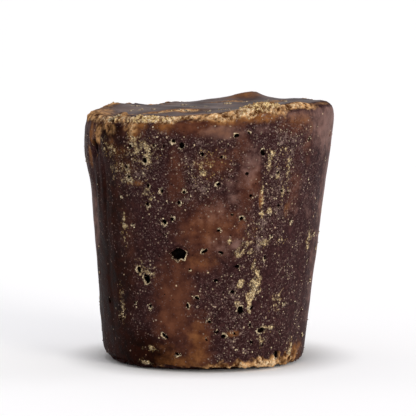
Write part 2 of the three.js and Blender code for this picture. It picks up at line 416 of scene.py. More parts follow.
TOP_PATCHES = [
    TopPatch(zone, *row)
    for zone, rows in {
        Zone.CRUST: (
            (-26, -24, 22, 13, 0.9), (-58, -30, 12, 5, 0.6), (-92, -20, 14, 50, 0.6), (46, -94, 18, 9, 1.0),
            (42, 98, 13, 6, 0.6), (-78, -67, 13, 10, 0.9), (-86, 44, 8, 14, 0.9), (-70, 70, 6, 6, 0.8),
            (-34, 98, 7, 5, 0.9), (22, 64, 20, 6, 0.6), (-40, 62, 13, 7, 0.6), (66, 30, 7, 12, 0.6),
        ),
        Zone.GRAIN: (
            (-24, -26, 18, 7, 0.6), (-84, -60, 12, 12, 0.45), (46, -94, 17, 8, 1.0), (52, 94, 4, 5, 0.5),
            (-85, 46, 5, 9, 0.6),
        ),
        Zone.OCHRE: (
            (-24, -12, 24, 14, 0.6), (38, 86, 15, 13, 0.62), (-76.5, -65.5, 7, 5, 1.2),
            (-4, -94, 20, 5, 0.6), (30, 10, 16, 9, 0.35), (-30, -8, 12, 8, 0.35),
        ),
        Zone.BLOOM: (
            (6, -62, 16, 5, 0.6), (20, -30, 10, 5, 0.55), (-8, 18, 14, 5, 0.5), (58, 54, 9, 6, 0.6),
            (-62, 10, 9, 6, 0.6),
        ),
    }.items()
    for row in rows
]

TOP_SWELLS = [
    TopSwell(*row)
    for row in (
        (45, 93, 9, 8, 1.3), (58, 92, 5, 12, -1.1), (66, 90, 8, 12, 0.9), (36, 93, 7, 9, 0.2),
        (10, 92, 14, 14, 1.9), (-54, 88, 18, 14, -1.3), (93, 62, 9, 14, 1.5), (84, 68, 26, 20, 2.0),
        (-85, 46, 6, 9, 1.0), (-70, 70, 5, 5, 1.0), (-34, 98, 6, 4, 1.2), (44, -97, 16, 6, 1.2),
        (-26, -24, 20, 12, 1.2), (-95, -22, 9, 36, 2.4), (-66, -72, 5, 5, 1.4), (-83, -54, 5, 5, 1.4),
        (-92, -30, 6, 7, 1.2),
    )
]

# What the sides and the back carry, in the front's own mix.
PATCH_MIXES = [
    PatchMix(Zone.AMBER, 20, (7, 22), (12, 34), (0.6, 1.1)),
    PatchMix(Zone.BLOOM, 40, (2, 7), (3, 14), (0.4, 0.85)),
    PatchMix(Zone.BLOOM, 7, (12, 18), (12, 26), (0.3, 0.55)),
    PatchMix(Zone.OCHRE, 8, (2, 6), (2, 8), (0.6, 1.0)),
    PatchMix(Zone.FROST, 12, (14, 26), (16, 36), (0.4, 0.8)),
    PatchMix(Zone.SHADE, 5, (22, 36), (30, 60), (0.4, 0.8)),
    PatchMix(Zone.MAUVE_AND_SHEEN, 4, (12, 20), (26, 44), (0.45, 0.65)),
]

BRIM_STRETCHES = [
    BrimStretch(*row)
    for row in (
        (-86, 12, 5, 1.0, 0.3, 1.0), (-66, 10, 6, 0.75, 0.55, 1.6), (-50, 8, 3, 0.9, 0.7, 1.8),
        (-38, 2.8, 14, 0.85, 0.5, 0.6), (-31, 9, 5, 1.0, 1.0, 0.8), (-22, 7, 5, 1.0, 0.75, 0.6),
        (-13, 9, 1.5, 1.0, 0.6, 0.3), (4, 9, 6, 1.0, 0.5, 0.4), (17, 8, 7, 1.0, 0.65, 0.8),
        (21, 6, 2, 1.0, 1.0, 2.2), (30, 6, 1, 0.9, 0.75, 1.6), (22, 12, 9, 1.0, 0.6, 0.6),
        (44, 11, 5, 1.0, 0.5, 0.4), (72, 12, 0.5, 0.5, 0.4, 0.2), (100, 12, 5, 0.6, 0.4, 0.5),
        (122, 14, 9, 0.9, 0.6, 1.2), (146, 14, 11, 1.0, 0.4, 0.7), (170, 12, 6, 0.8, 0.55, 1.0),
        (-168, 12, 10, 0.9, 0.3, 0.5), (-146, 12, 8, 1.0, 0.5, 1.0), (-124, 12, 10, 0.8, 0.4, 0.6),
        (-104, 12, 6, 0.8, 0.6, 0.8),
    )
]

FOOT_STRETCHES = [
    FootStretch(*row)
    for row in (
        (40, 12, 9, 1.1, 0.5), (51, 9, 12, 0.9, 0.35), (60, 7, 12, 0.6, 0.3), (19, 15, 8, 1.2, 0.45),
        (33, 6, 11, 1.0, 0.55), (2, 14, 4, 1.0, 0.4), (-24, 12, 3, 0.8, 0.2), (118, 20, 7, 0.8, 0.6),
        (-165, 26, 8, 0.8, 0.6), (-100, 16, 5, 0.6, 0.4),
    )
]

FOLDS = [
    Fold(*row)
    for row in (
        (90, 0.20, 34, 42, 2.3), (-90, 0.19, 30, 26, 1.9), (-63, 0.755, 2.2, 16, 1.0),
        (-60, 0.70, 1.4, 20, -0.9), (-68.5, 0.70, 2.0, 16, 1.2), (-73, 0.68, 1.4, 18, -1.0),
        (-78, 0.62, 2.6, 40, 1.0), (-84, 0.50, 3.0, 50, -0.8), (-90, 0.56, 3.0, 50, 0.9),
        (-71, 0.885, 1.8, 12, 1.0), (-56.5, 0.86, 3.2, 10, 1.2), (-54, 0.50, 2.0, 40, 0.5),
        (-60, 0.35, 2.2, 40, -0.5), (64, 0.72, 2.6, 40, 0.25), (71, 0.45, 3.2, 60, -0.25),
        (79, 0.55, 3.2, 60, 0.3), (90, 0.40, 4.0, 70, -0.4), (118, 0.50, 3.0, 60, 0.7),
        (171, 0.62, 3.4, 50, -0.7), (-146, 0.48, 3.0, 50, 0.8), (-112, 0.66, 3.0, 44, 0.7),
    )
]


# -------------------------------------------------------------------------------- finding the way


@dataclass(frozen=True)
class Spot:
    """A place on the skin, with the way out of it."""

    point: Vector
    normal: Vector


@dataclass(frozen=True)
class Survey:
    """Where many places of the skin lie, one value to a place."""

    points: np.ndarray  # in metres, one to a row
    slope: np.ndarray
    bearing: np.ndarray
    height: np.ndarray
    radius: np.ndarray  # from the block's axis
    down: np.ndarray  # how far down the wall from the brim's corner, and negative on the open top

    @property
    def over_floor(self) -> np.ndarray:
        """How far over the floor each place lies."""
        return self.points[:, 2] / MM

    def turn_from(self, bearing: float) -> np.ndarray:
        """How far round from a bearing each place lies, in degrees."""
        return turn_between(bearing, self.bearing)

    def wall_from(self, bearing: float, height: float) -> tuple[np.ndarray, np.ndarray]:
        """How far round and how far up from a place on the wall each place lies, in millimetres."""
        return np.radians(self.turn_from(bearing)) * self.radius, (self.height - height) * BLOCK_HEIGHT

    def plan_from(self, x: float, y: float) -> tuple[np.ndarray, np.ndarray]:
        """How far to the right and how far back from a place in the plan each place lies."""
        return self.points[:, 0] / MM - x, self.points[:, 1] / MM - y


@dataclass
class Compass:
    """Finds places on the block by bearing and height, and reads them back for many places at once."""

    mesh: bpy.types.Mesh
    height: float = BLOCK_HEIGHT * MM
    lean: float = 0.031  # sideways run of the block's axis per unit of height
    rough_height: float = 0.9  # the height at which the brim's radius is first guessed
    brim_inset: float = 9.0  # how far in from the wall the top is read
    brim_below: float = 14.0  # how far under the top the wall is read
    pit_margin: float = 0.8  # how far from a pit's middle the wall is read, in mouth widths
    far: float = 0.5
    readings: int = 90

    def __post_init__(self) -> None:
        """Makes the tree that rays are cast at, and reads the brim all round."""
        shell = bmesh.new()
        shell.from_mesh(self.mesh)
        self.tree = BVHTree.FromBMesh(shell)
        shell.free()
        self.brim_bearings = np.linspace(-180.0, 180.0, self.readings, endpoint=False)
        edges = [self._read_brim(b) for b in self.brim_bearings]
        self.brim_radii = np.array([radius for radius, _ in edges])
        self.brim_heights = np.array([top for _, top in edges])

    def axis(self, z: float) -> Vector:
        """The place of the block's axis at a height in metres."""
        return Vector((self.lean * z, 0.0, z))

    def facing(self, bearing: float) -> Vector:
        """The level direction of a bearing."""
        angle = math.radians(bearing)
        return Vector((math.sin(angle), -math.cos(angle), 0.0))

    def wall(self, bearing: float, height: float) -> Spot:
        """Finds a place on the wall.

        Args:
            bearing: Its bearing in degrees.
            height: Its share of the block's height.

        Returns:
            The place, with the way out of the wall.
        """
        out = self.facing(bearing)
        start = self.axis(height * self.height) + out * self.far
        point, normal, _, _ = self.tree.ray_cast(start, -out)
        return Spot(point, normal)

    def over(self, pit: Pit) -> Spot:
        """Finds the place over a pit, read from the wall round its mouth.

        Args:
            pit: The pit.

        Returns:
            The place, with the way out of the wall.
        """
        radius = self.wall(pit.bearing, pit.height).point.xy.length
        turn = math.degrees(self.pit_margin * pit.across * MM / radius)
        rise = self.pit_margin * pit.tall * MM / self.height
        left, right = (self.wall(pit.bearing + way * turn, pit.height).point for way in (-1, 1))
        low, high = (self.wall(pit.bearing, pit.height + way * rise).point for way in (-1, 1))
        normal = (right - left).cross(high - low).normalized()
        return Spot((left + right + low + high) / 4, normal)

    def top(self, x: float, y: float) -> Spot:
        """Finds a place on the open top.

        Args:
            x: Its place in the plan, in metres.
            y: Its place in the plan, in metres.

        Returns:
            The place, with the way out of the top.
        """
        point, normal, _, _ = self.tree.ray_cast(Vector((x, y, self.far)), Vector((0.0, 0.0, -1.0)))
        return Spot(point, normal)

    def _read_brim(self, bearing: float) -> tuple[float, float]:
        """Reads the brim at one bearing.

        Args:
            bearing: The bearing in degrees.

        Returns:
            The wall's radius and the top's height next to the brim, in metres.
        """
        rough = self.wall(bearing, self.rough_height).point
        radius = (rough - self.axis(rough.z)).length
        inward = self.facing(bearing) * (radius - self.brim_inset * MM)
        top = self.top(self.lean * self.height + inward.x, inward.y).point.z
        edge = self.wall(bearing, (top - self.brim_below * MM) / self.height).point
        return (edge - self.axis(edge.z)).length, top

    def survey(self, points: np.ndarray, slope: np.ndarray) -> Survey:
        """Reads places back.

        Args:
            points: Places in metres, one to a row.
            slope: The skin's slope there.

        Returns:
            Where each of them lies.
        """
        x = points[:, 0] - self.lean * points[:, 2]
        bearing = np.degrees(np.arctan2(x, -points[:, 1]))
        radius = np.hypot(x, points[:, 1])
        wall = np.interp(bearing, self.brim_bearings, self.brim_radii, period=360)
        top = np.interp(bearing, self.brim_bearings, self.brim_heights, period=360)
        down = (top - points[:, 2] - (wall - radius)) / MM
        return Survey(points, slope, bearing, points[:, 2] / self.height, radius / MM, down)


# ------------------------------------------------------------------------------------- the finishes


def add_node(
    tree: bpy.types.NodeTree,
    kind: str,
    settings: dict[str | int, Any] | None = None,
    links: dict[str | int, Socket] | None = None,
) -> bpy.types.Node:
    """Adds a node with its settings and its links.

    Args:
        tree: The tree that it goes in.
        kind: Its kind, as Blender names it after "ShaderNode".
        settings: Values by the name of a property, or by the name or number of an input.
        links: The outputs that feed its inputs, by the input's name or number.

    Returns:
        The new node.
    """
    node = tree.nodes.new(f"ShaderNode{kind}")
    for key, value in (settings or {}).items():
        if isinstance(key, str) and hasattr(node, key):
            setattr(node, key, value)
        else:
            node.inputs[key].default_value = value
    for key, output in (links or {}).items():
        tree.links.new(output, node.inputs[key])
    return node


def new_material(name: str) -> tuple[bpy.types.Material, bpy.types.NodeTree]:
    """An empty material with that name, and its tree."""
    material = bpy.data.materials.new(name)
    material.use_nodes = True
    material.node_tree.nodes.clear()
    return material, material.node_tree


class Pattern(Enum):
    """The patterns that the cast sugar's colours are mixed by."""

    BROAD = "broad"
    MIDDLE = "middle"
    FINE = "fine"
    GRIT = "grit"
    LIT_CRESTS = "raised"  # painted light high on the crust's crests, painted shade low in its creases


@dataclass(frozen=True)
class NoiseLayer:
    """One noise pattern."""

    pattern: Pattern
    size: float
    detail: float
    roughness: float = 0.5


@dataclass(frozen=True)
class Coat:
    """What one zone lays over the skin: two tones mixed by one pattern, with an edge torn by another."""

    zone: Zone
    dark: str
    pale: str
    mottle: Pattern
    edge: Pattern
    ragged: float  # how far the pattern moves the edge
    low: float  # the amount of the zone that counts as none
    high: float  # the amount that counts as all
    contrast: float = 0.15  # half the range of the pattern that takes the tone from dark to pale
    fade: float = 0.15  # the amount of the zone below which the coat thins out


@dataclass(frozen=True)
class SpeckLayer:
    """One size of specks in the skin."""

    cell: float  # spacing
    dot: float  # radius of the largest speck, as a share of the spacing
    soft: float  # width of its edge, as a share of the spacing
    colour: str
    share: float  # share of the places that carry a speck where the zone is full
    by: Zone
    faintest: float = 0.3  # strength of the faintest speck


@dataclass(frozen=True)
class CastJaggery:
    """Unrefined cane sugar, boiled down, poured and set against a bucket's wall.

    It gives the eye a dark plum-brown skin with a waxy gloss, amber where the syrup set clear, a lace of
    pale specks where sugar has grained at the surface, and a dry tan crust where it boiled over. Its colours
    also carry painted light: sheen along the edges, a reflection on the open top, and shade on the left, in
    the pits, in the pores and in the crust's creases.
    """

    name: str = "cane_sugar_boiled_and_cast"
    ior: float = 1.42
    specular: float = 0.03
    ground_dark: str = "1f0e0e"
    ground_pale: str = "351e1e"
    ground_worn: str = "4b302e"
    worn_range: Range = (0.48, 0.78)  # the part of the fine pattern that wears the ground pale
    noises: tuple[NoiseLayer, ...] = (
        NoiseLayer(Pattern.BROAD, 26, 3),
        NoiseLayer(Pattern.MIDDLE, 9, 4, 0.6),
        NoiseLayer(Pattern.FINE, 3.4, 4, 0.65),
        NoiseLayer(Pattern.GRIT, 1.4, 3, 0.6),
    )
    crest_shading: float = 0.5  # how far painted light on a crest and painted shade in a crease move the crust's pattern
    warp_size: float = 1.7  # the noise that makes the specks uneven
    warp_detail: float = 2.0
    warp: float = 1.5  # how far it moves them
    stains: tuple[Coat, ...] = (
        Coat(Zone.AMBER, "3f2017", "653d2b", Pattern.MIDDLE, Pattern.MIDDLE, 0.9, 0.05, 1.15, 0.2),
        # Painted shade on the left and at the foot, over a dark olive-brown ground.
        Coat(Zone.SHADE, "140401", "2a0e05", Pattern.MIDDLE, Pattern.BROAD, 0.8, 0.0, 0.9),
        # Mauve-grey skin, paler where it stands for painted sheen along the edges.
        Coat(Zone.MAUVE_AND_SHEEN, "503832", "785a52", Pattern.MIDDLE, Pattern.MIDDLE, 1.5, 0.15, 1.05, 0.25),
        # The open top's slate tone: a painted reflection of the pale surround.
        Coat(Zone.TOP, "302425", "685852", Pattern.BROAD, Pattern.FINE, 0.5, 0.3, 0.7, 0.2),
        Coat(Zone.OCHRE, "552c13", "966437", Pattern.MIDDLE, Pattern.MIDDLE, 0.7, 0.1, 1.0, 0.3),
    )
    specks: tuple[SpeckLayer, ...] = (
        # Near-black dots: painted shade in tiny pores; the layers after it are pale specks.
        SpeckLayer(2.4, 0.26, 0.08, "0b0504", 0.60, Zone.FROST),
        SpeckLayer(1.0, 0.40, 0.20, "64504b", 0.80, Zone.FROST),
        SpeckLayer(1.7, 0.34, 0.14, "735e58", 0.52, Zone.FROST),
        SpeckLayer(2.3, 0.30, 0.12, "937d6c", 0.50, Zone.FROST),
        SpeckLayer(3.9, 0.20, 0.07, "c4ac8c", 0.28, Zone.FROST),
        SpeckLayer(5.2, 0.17, 0.05, "a9937e", 0.16, Zone.FROST),
        SpeckLayer(5.6, 0.10, 0.04, "8c6c54", 0.12, Zone.AMBER),
        SpeckLayer(1.6, 0.38, 0.12, "93784c", 0.75, Zone.BLOOM),
    )
    deposits: tuple[Coat, ...] = (
        Coat(Zone.FROST, "4e3c3a", "8c766c", Pattern.GRIT, Pattern.FINE, 1.6, 0.75, 1.15, 0.2),
        # Crust and grain take their tone from the lit crests: painted light on crests, painted shade in
        # creases.
        Coat(Zone.CRUST, "42240f", "c69663", Pattern.LIT_CRESTS, Pattern.MIDDLE, 1.0, 0.2, 0.9, 0.25),
        Coat(Zone.GRAIN, "714b2b", "f4dfb8", Pattern.LIT_CRESTS, Pattern.GRIT, 1.6, 0.35, 0.85, 0.25),
        Coat(Zone.BLOOM, "6e5133", "f0d8a4", Pattern.GRIT, Pattern.FINE, 2.3, 0.30, 0.92, 0.13),
        Coat(Zone.RIM, "86694a", "e0d0ac", Pattern.GRIT, Pattern.GRIT, 0.8, 0.35, 0.7),
        # Painted shade inside the pits, near black.
        Coat(Zone.PIT_SHADE, "050202", "150a06", Pattern.GRIT, Pattern.GRIT, 0.3, 0.15, 0.75),
    )
    # Dark dots for tiny pores: painted shade in pits too small to be shaped.
    pore_shade: tuple[SpeckLayer, ...] = (
        SpeckLayer(1.9, 0.32, 0.12, "2c1a14", 0.62, Zone.BLOOM),
        SpeckLayer(2.9, 0.24, 0.10, "40240f", 0.35, Zone.GRAIN),
        SpeckLayer(3.4, 0.19, 0.06, "0e0705", 0.42, Zone.FROST),
    )
    rough_ground: Range = (0.42, 0.62)
    rough_pattern: Range = (0.3, 0.7)  # the part of the middle pattern that goes from low to high
    rough_zones: tuple[tuple[Zone, float], ...] = (
        (Zone.AMBER, 0.36),
        (Zone.MAUVE_AND_SHEEN, 0.42),
        (Zone.TOP, 0.34),
        (Zone.CRUST, 0.78),
        (Zone.GRAIN, 0.88),
    )
    bump_height: float = 0.45
    bump_strength: Range = (0.75, 0.2)  # on the grained wall, and on the smooth zones

    def make(self) -> bpy.types.Material:
        """Builds the material.

        Returns:
            The material, which reads the skin's zones.
        """
        material, tree = new_material(self.name)
        skin = SkinTree(tree, self)
        colour = skin.ground()
        for coat in self.stains:
            colour = skin.lay(colour, coat)
        for layer in self.specks:
            colour = skin.speckle(colour, layer)
        for coat in self.deposits:
            colour = skin.lay(colour, coat)
        for layer in self.pore_shade:
            colour = skin.speckle(colour, layer)
        shader = add_node(
            tree,
            "BsdfPrincipled",
            {"IOR": self.ior, "Specular IOR Level": self.specular},
            {"Base Color": colour, "Roughness": skin.roughness(), "Normal": skin.bump()},
        )
        add_node(tree, "OutputMaterial", None, {"Surface": shader.outputs[0]})
        return material


class SkinTree:
    """The cast sugar's shader in the making: the skin's zones, and the patterns that all is mixed by."""

    def __init__(self, tree: bpy.types.NodeTree, finish: CastJaggery) -> None:
        """Reads the skin's zones, and builds the patterns.

        Args:
            tree: The material's tree.
            finish: The colours and sizes to build it from.
        """
        self.tree = tree
        self.finish = finish
        self.coords = add_node(tree, "TexCoord").outputs["Object"]
        self.zones = {
            zone: add_node(tree, "Attribute", {"attribute_name": zone.value}).outputs["Fac"]
            for zone in Zone
        }
        self.uneven = self._warped()
        self.patterns = {
            layer.pattern: add_node(
                tree,
                "TexNoise",
                {"Scale": per_mm(layer.size), "Detail": layer.detail, "Roughness": layer.roughness},
                {"Vector": self.coords},
            ).outputs[0]
            for layer in finish.noises
        }
        self.patterns[Pattern.LIT_CRESTS] = self._lit_crests()

    def _warped(self) -> Socket:
        """Moves each place a little by noise, so that what is drawn there is uneven.

        Returns:
            The moved place.
        """
        shove = add_node(
            self.tree,
            "TexNoise",
            {"Scale": per_mm(self.finish.warp_size), "Detail": self.finish.warp_detail},
            {"Vector": self.coords},
        )
        centred = add_node(
            self.tree,
            "VectorMath",
            {"operation": "SUBTRACT", 1: (0.5, 0.5, 0.5)},
            {0: shove.outputs["Color"]},
        )
        moved = add_node(
            self.tree,
            "VectorMath",
            {"operation": "MULTIPLY_ADD", 1: (self.finish.warp * MM,) * 3},
            {0: centred.outputs[0], 2: self.coords},
        )
        return moved.outputs[0]

    def _lit_crests(self) -> Socket:
        """The fine pattern, moved up on the crust's crests and down in its creases: painted light on crests,
        painted shade in creases.

        Returns:
            The pattern's value.
        """
        sway = self.finish.crest_shading
        crest = add_node(
            self.tree,
            "Math",
            {"operation": "MULTIPLY_ADD", 1: sway, 2: -0.5 * sway},
            {0: self.zones[Zone.CREST]},
        )
        raised = add_node(
            self.tree, "Math", {"operation": "ADD"}, {0: self.patterns[Pattern.FINE], 1: crest.outputs[0]}
        )
        return raised.outputs[0]

    def ground(self) -> Socket:
        """The plum-brown of the skin.

        Returns:
            The colour.
        """
        finish = self.finish
        plum = add_node(
            self.tree,
            "Mix",
            {"data_type": "RGBA", UNDER: linear(finish.ground_dark), OVER: linear(finish.ground_pale)},
            {SHARE: self.patterns[Pattern.MIDDLE]},
        )
        low, high = finish.worn_range
        worn_share = add_node(
            self.tree,
            "MapRange",
            {"From Min": low, "From Max": high},
            {"Value": self.patterns[Pattern.FINE]},
        )
        worn = add_node(
            self.tree,
            "Mix",
            {"data_type": "RGBA", OVER: linear(finish.ground_worn)},
            {SHARE: worn_share.outputs[0], UNDER: plum.outputs[MIXED]},
        )
        return worn.outputs[MIXED]

    def lay(self, under: Socket, coat: Coat) -> Socket:
        """Lays one coat over a colour.

        Args:
            under: The colour it is laid on.
            coat: The coat.

        Returns:
            The colour with the coat on it.
        """
        zone = self.zones[coat.zone]
        depth = add_node(
            self.tree,
            "MapRange",
            {"From Min": 0.5 - coat.contrast, "From Max": 0.5 + coat.contrast},
            {"Value": self.patterns[coat.mottle]},
        )
        tone = add_node(
            self.tree,
            "Mix",
            {"data_type": "RGBA", UNDER: linear(coat.dark), OVER: linear(coat.pale)},
            {SHARE: depth.outputs[0]},
        )
        torn = add_node(
            self.tree,
            "Math",
            {"operation": "MULTIPLY_ADD", 1: coat.ragged, 2: -0.5 * coat.ragged},
            {0: self.patterns[coat.edge]},
        )
        moved = add_node(self.tree, "Math", {"operation": "ADD"}, {0: zone, 1: torn.outputs[0]})
        inside = add_node(
            self.tree,
            "MapRange",
            {"interpolation_type": "SMOOTHSTEP", "From Min": coat.low, "From Max": coat.high},
            {"Value": moved.outputs[0]},
        )
        present = add_node(self.tree, "MapRange", {"From Max": coat.fade}, {"Value": zone})
        share = add_node(
            self.tree, "Math", {"operation": "MULTIPLY"}, {0: inside.outputs[0], 1: present.outputs[0]}
        )
        laid = add_node(
            self.tree,
            "Mix",
            {"data_type": "RGBA"},
            {SHARE: share.outputs[0], UNDER: under, OVER: tone.outputs[MIXED]},
        )
        return laid.outputs[MIXED]

    def speckle(self, under: Socket, layer: SpeckLayer) -> Socket:
        """Strews one size of specks over a colour.

        Args:
            under: The colour they lie on.
            layer: The specks.

        Returns:
            The colour with the specks on it.
        """
        tree = self.tree
        cells = add_node(tree, "TexVoronoi", {"Scale": per_mm(layer.cell)}, {"Vector": self.uneven})
        chance = add_node(tree, "SeparateColor", None, {0: cells.outputs["Color"]})
        edge = {"From Min": layer.dot + layer.soft, "From Max": layer.dot - layer.soft}
        dot = add_node(
            tree,
            "MapRange",
            {"interpolation_type": "SMOOTHSTEP"} | edge,
            {"Value": cells.outputs["Distance"]},
        )
        wanted = add_node(
            tree, "Math", {"operation": "MULTIPLY", 1: layer.share}, {0: self.zones[layer.by]}
        )
        kept = add_node(
            tree, "Math", {"operation": "LESS_THAN"}, {0: chance.outputs[0], 1: wanted.outputs[0]}
        )
        strength = add_node(
            tree,
            "Math",
            {"operation": "MULTIPLY_ADD", 1: 1.0 - layer.faintest, 2: layer.faintest},
            {0: chance.outputs[1]},
        )
        drawn = add_node(tree, "Math", {"operation": "MULTIPLY"}, {0: dot.outputs[0], 1: kept.outputs[0]})
        share = add_node(
            tree, "Math", {"operation": "MULTIPLY"}, {0: drawn.outputs[0], 1: strength.outputs[0]}
        )
        strewn = add_node(
            tree,
            "Mix",
            {"data_type": "RGBA", OVER: linear(layer.colour)},
            {SHARE: share.outputs[0], UNDER: under},
        )
        return strewn.outputs[MIXED]

    def roughness(self) -> Socket:
        """Waxy on the wall, smoother on amber, mauve and the open top, dry on the crust.

        Returns:
            The roughness.
        """
        (start, end), (low, high) = self.finish.rough_pattern, self.finish.rough_ground
        value = add_node(
            self.tree,
            "MapRange",
            {"From Min": start, "From Max": end, "To Min": low, "To Max": high},
            {"Value": self.patterns[Pattern.MIDDLE]},
        ).outputs[0]
        for zone, rough in self.finish.rough_zones:
            value = add_node(
                self.tree, "Mix", {"data_type": "FLOAT", 3: rough}, {0: self.zones[zone], 2: value}
            ).outputs[0]
        return value

    def bump(self) -> Socket:
        """A fine grain on the wall, which the smooth zones have less of.

        Returns:
            The bumped normal.
        """
        grain = add_node(
            self.tree,
            "Math",
            {"operation": "ADD"},
            {0: self.patterns[Pattern.GRIT], 1: self.patterns[Pattern.FINE]},
        )
        smooth_share = add_node(
            self.tree,
            "Math",
            {"operation": "MAXIMUM"},
            {0: self.zones[Zone.AMBER], 1: self.zones[Zone.TOP]},
        )
        grained, smooth = self.finish.bump_strength
        strength = add_node(
            self.tree, "MapRange", {"To Min": grained, "To Max": smooth}, {"Value": smooth_share.outputs[0]}
        )
        bump = add_node(
            self.tree,
            "Bump",
            {"Distance": self.finish.bump_height * MM},
            {"Height": grain.outputs[0], "Strength": strength.outputs[0]},
        )
        return bump.outputs[0]


@dataclass(frozen=True)
class GrainySugar:
    """Sugar that has grained: loose crumbs of crust, or single crystals.

    It gives the eye dry, pale, uneven bits, each a little lighter or darker than the next.
    """

    name: str
    dark: str
    pale: str
    roughness: float
    specular: float = 0.15
    grain: float = 1.1
    grain_detail: float = 3.0
    grain_sway: float = 0.7  # how far the grain moves the tone
    bump_height: float = 0.3
    bump_strength: float = 0.6
    tone: str = "tone"  # the attribute that holds each bit's own tone

    def make(self) -> bpy.types.Material:
        """Builds the material.

        Returns:
            The material, which reads each bit's tone.
        """
        material, tree = new_material(self.name)
        coords = add_node(tree, "TexCoord").outputs["Object"]
        tone = add_node(tree, "Attribute", {"attribute_name": self.tone}).outputs["Fac"]
        grain = add_node(
            tree, "TexNoise", {"Scale": per_mm(self.grain), "Detail": self.grain_detail}, {"Vector": coords}
        )
        shifted = add_node(
            tree,
            "Math",
            {"operation": "MULTIPLY_ADD", 1: self.grain_sway, 2: -0.5 * self.grain_sway},
            {0: grain.outputs[0]},
        )
        share = add_node(
            tree, "Math", {"operation": "ADD", "use_clamp": True}, {0: tone, 1: shifted.outputs[0]}
        )
        colour = add_node(
            tree,
            "Mix",
            {"data_type": "RGBA", UNDER: linear(self.dark), OVER: linear(self.pale)},
            {SHARE: share.outputs[0]},
        )
        bump = add_node(
            tree,
            "Bump",
            {"Distance": self.bump_height * MM, "Strength": self.bump_strength},
            {"Height": grain.outputs[0]},
        )
        shader = add_node(
            tree,
            "BsdfPrincipled",
            {"Roughness": self.roughness, "Specular IOR Level": self.specular},
            {"Base Color": colour.outputs[MIXED], "Normal": bump.outputs[0]},
        )
        add_node(tree, "OutputMaterial", None, {"Surface": shader.outputs[0]})
        return material


@dataclass(frozen=True)
class MattBoard:
    """White painted board, rolled on and dried matt. It gives the eye a plain pale ground."""

    name: str = "board_painted_matt_white"
    colour: str = "f6f6f4"
    roughness: float = 0.95
    specular: float = 0.1

    def make(self) -> bpy.types.Material:
        """Builds the material.

        Returns:
            The material, the same all over.
        """
        material, tree = new_material(self.name)
        shader = add_node(
            tree,
            "BsdfPrincipled",
            {
                "Base Color": linear(self.colour),
                "Roughness": self.roughness,
                "Specular IOR Level": self.specular,
            },
        )
        add_node(tree, "OutputMaterial", None, {"Surface": shader.outputs[0]})
        return material


# ------------------------------------------------------------------------------------ the pieces


def to_piece(shape: Shape, name: str, material: bpy.types.Material) -> bpy.types.Object:
    """Turns a finished bmesh into an object of the scene, and frees the bmesh.

    Args:
        shape: The finished shape, in the row frame.
        name: The piece's name.
        material: Its material.

    Returns:
        The object, at the origin, with its place in its mesh.
    """
    mesh = bpy.data.meshes.new(name)
    shape.to_mesh(mesh)
    shape.free()
    mesh.materials.append(material)
    piece = bpy.data.objects.new(name, mesh)
    bpy.context.scene.collection.objects.link(piece)
    triangles = sum(len(face.vertices) - 2 for face in mesh.polygons)
    log.info("%s: %d vertices, %d triangles", name, len(mesh.vertices), triangles)
    return piece


@dataclass(frozen=True)
class CrustCover:
    """How much crust each place carries."""

    crust: np.ndarray
    grain: np.ndarray
    proud: np.ndarray  # how far the crust stands out, in millimetres


@dataclass(frozen=True)
class CrustEdges:
    """The crust along the brim and along the foot's edge."""

    ragged: tuple[Wave, ...] = (Wave(9, 2.0), Wave(4, 7.0, 0.5))
    brim_start: Range = (-12.0, -4.0)  # where it sets in on the open top
    brim_wander: float = 3.0  # how far that line wanders
    brim_ragged: float = 0.5  # how unevenly deep it reaches
    brim_end: Range = (-2.0, 3.0)  # how softly it ends on the wall
    crest_inset: float = 3.0  # how far from the brim's corner it stands out most, on the open top
    crest_wide: float = 4.5
    sole_slope: Range = (-0.97, -0.7)  # from the bare sole to the wall
    foot_ragged: float = 0.7
    foot_end: Range = (-1.5, 2.5)
    foot_proud: float = 1.7  # how far the foot's crust stands out

    def cover(self, survey: Survey) -> CrustCover:
        """Works out the crust at the brim and at the foot.

        Args:
            survey: Where the places lie.

        Returns:
            How much crust each place carries.
        """
        ragged = pile(self.ragged, survey.points)
        crust, grain, proud = (np.zeros(len(survey.points)) for _ in range(3))
        start, full = self.brim_start
        crest = heap((survey.down + self.crest_inset) / self.crest_wide)
        for stretch in BRIM_STRETCHES:
            along = heap(survey.turn_from(stretch.bearing) / stretch.wide)
            deep = stretch.deep * (1.0 + self.brim_ragged * ragged)
            band = ramp(survey.down, start + self.brim_wander * ragged, full)
            share = along * (band * ramp(deep - survey.down, *self.brim_end)) * stretch.strength
            crust = np.maximum(crust, share)
            grain = np.maximum(grain, stretch.grain * share)
            proud = np.maximum(proud, stretch.proud * share * crest)
        off_sole = ramp(survey.slope, *self.sole_slope)
        for stretch in FOOT_STRETCHES:
            along = heap(survey.turn_from(stretch.bearing) / stretch.wide) * stretch.strength
            tall = stretch.tall * (1.0 + self.foot_ragged * ragged)
            band = ramp(tall - survey.over_floor, *self.foot_end) * off_sole
            crust = np.maximum(crust, along * band)
            grain = np.maximum(grain, stretch.grain * along * band)
            proud = np.maximum(proud, self.foot_proud * along * band)
        return CrustCover(crust, grain, proud)


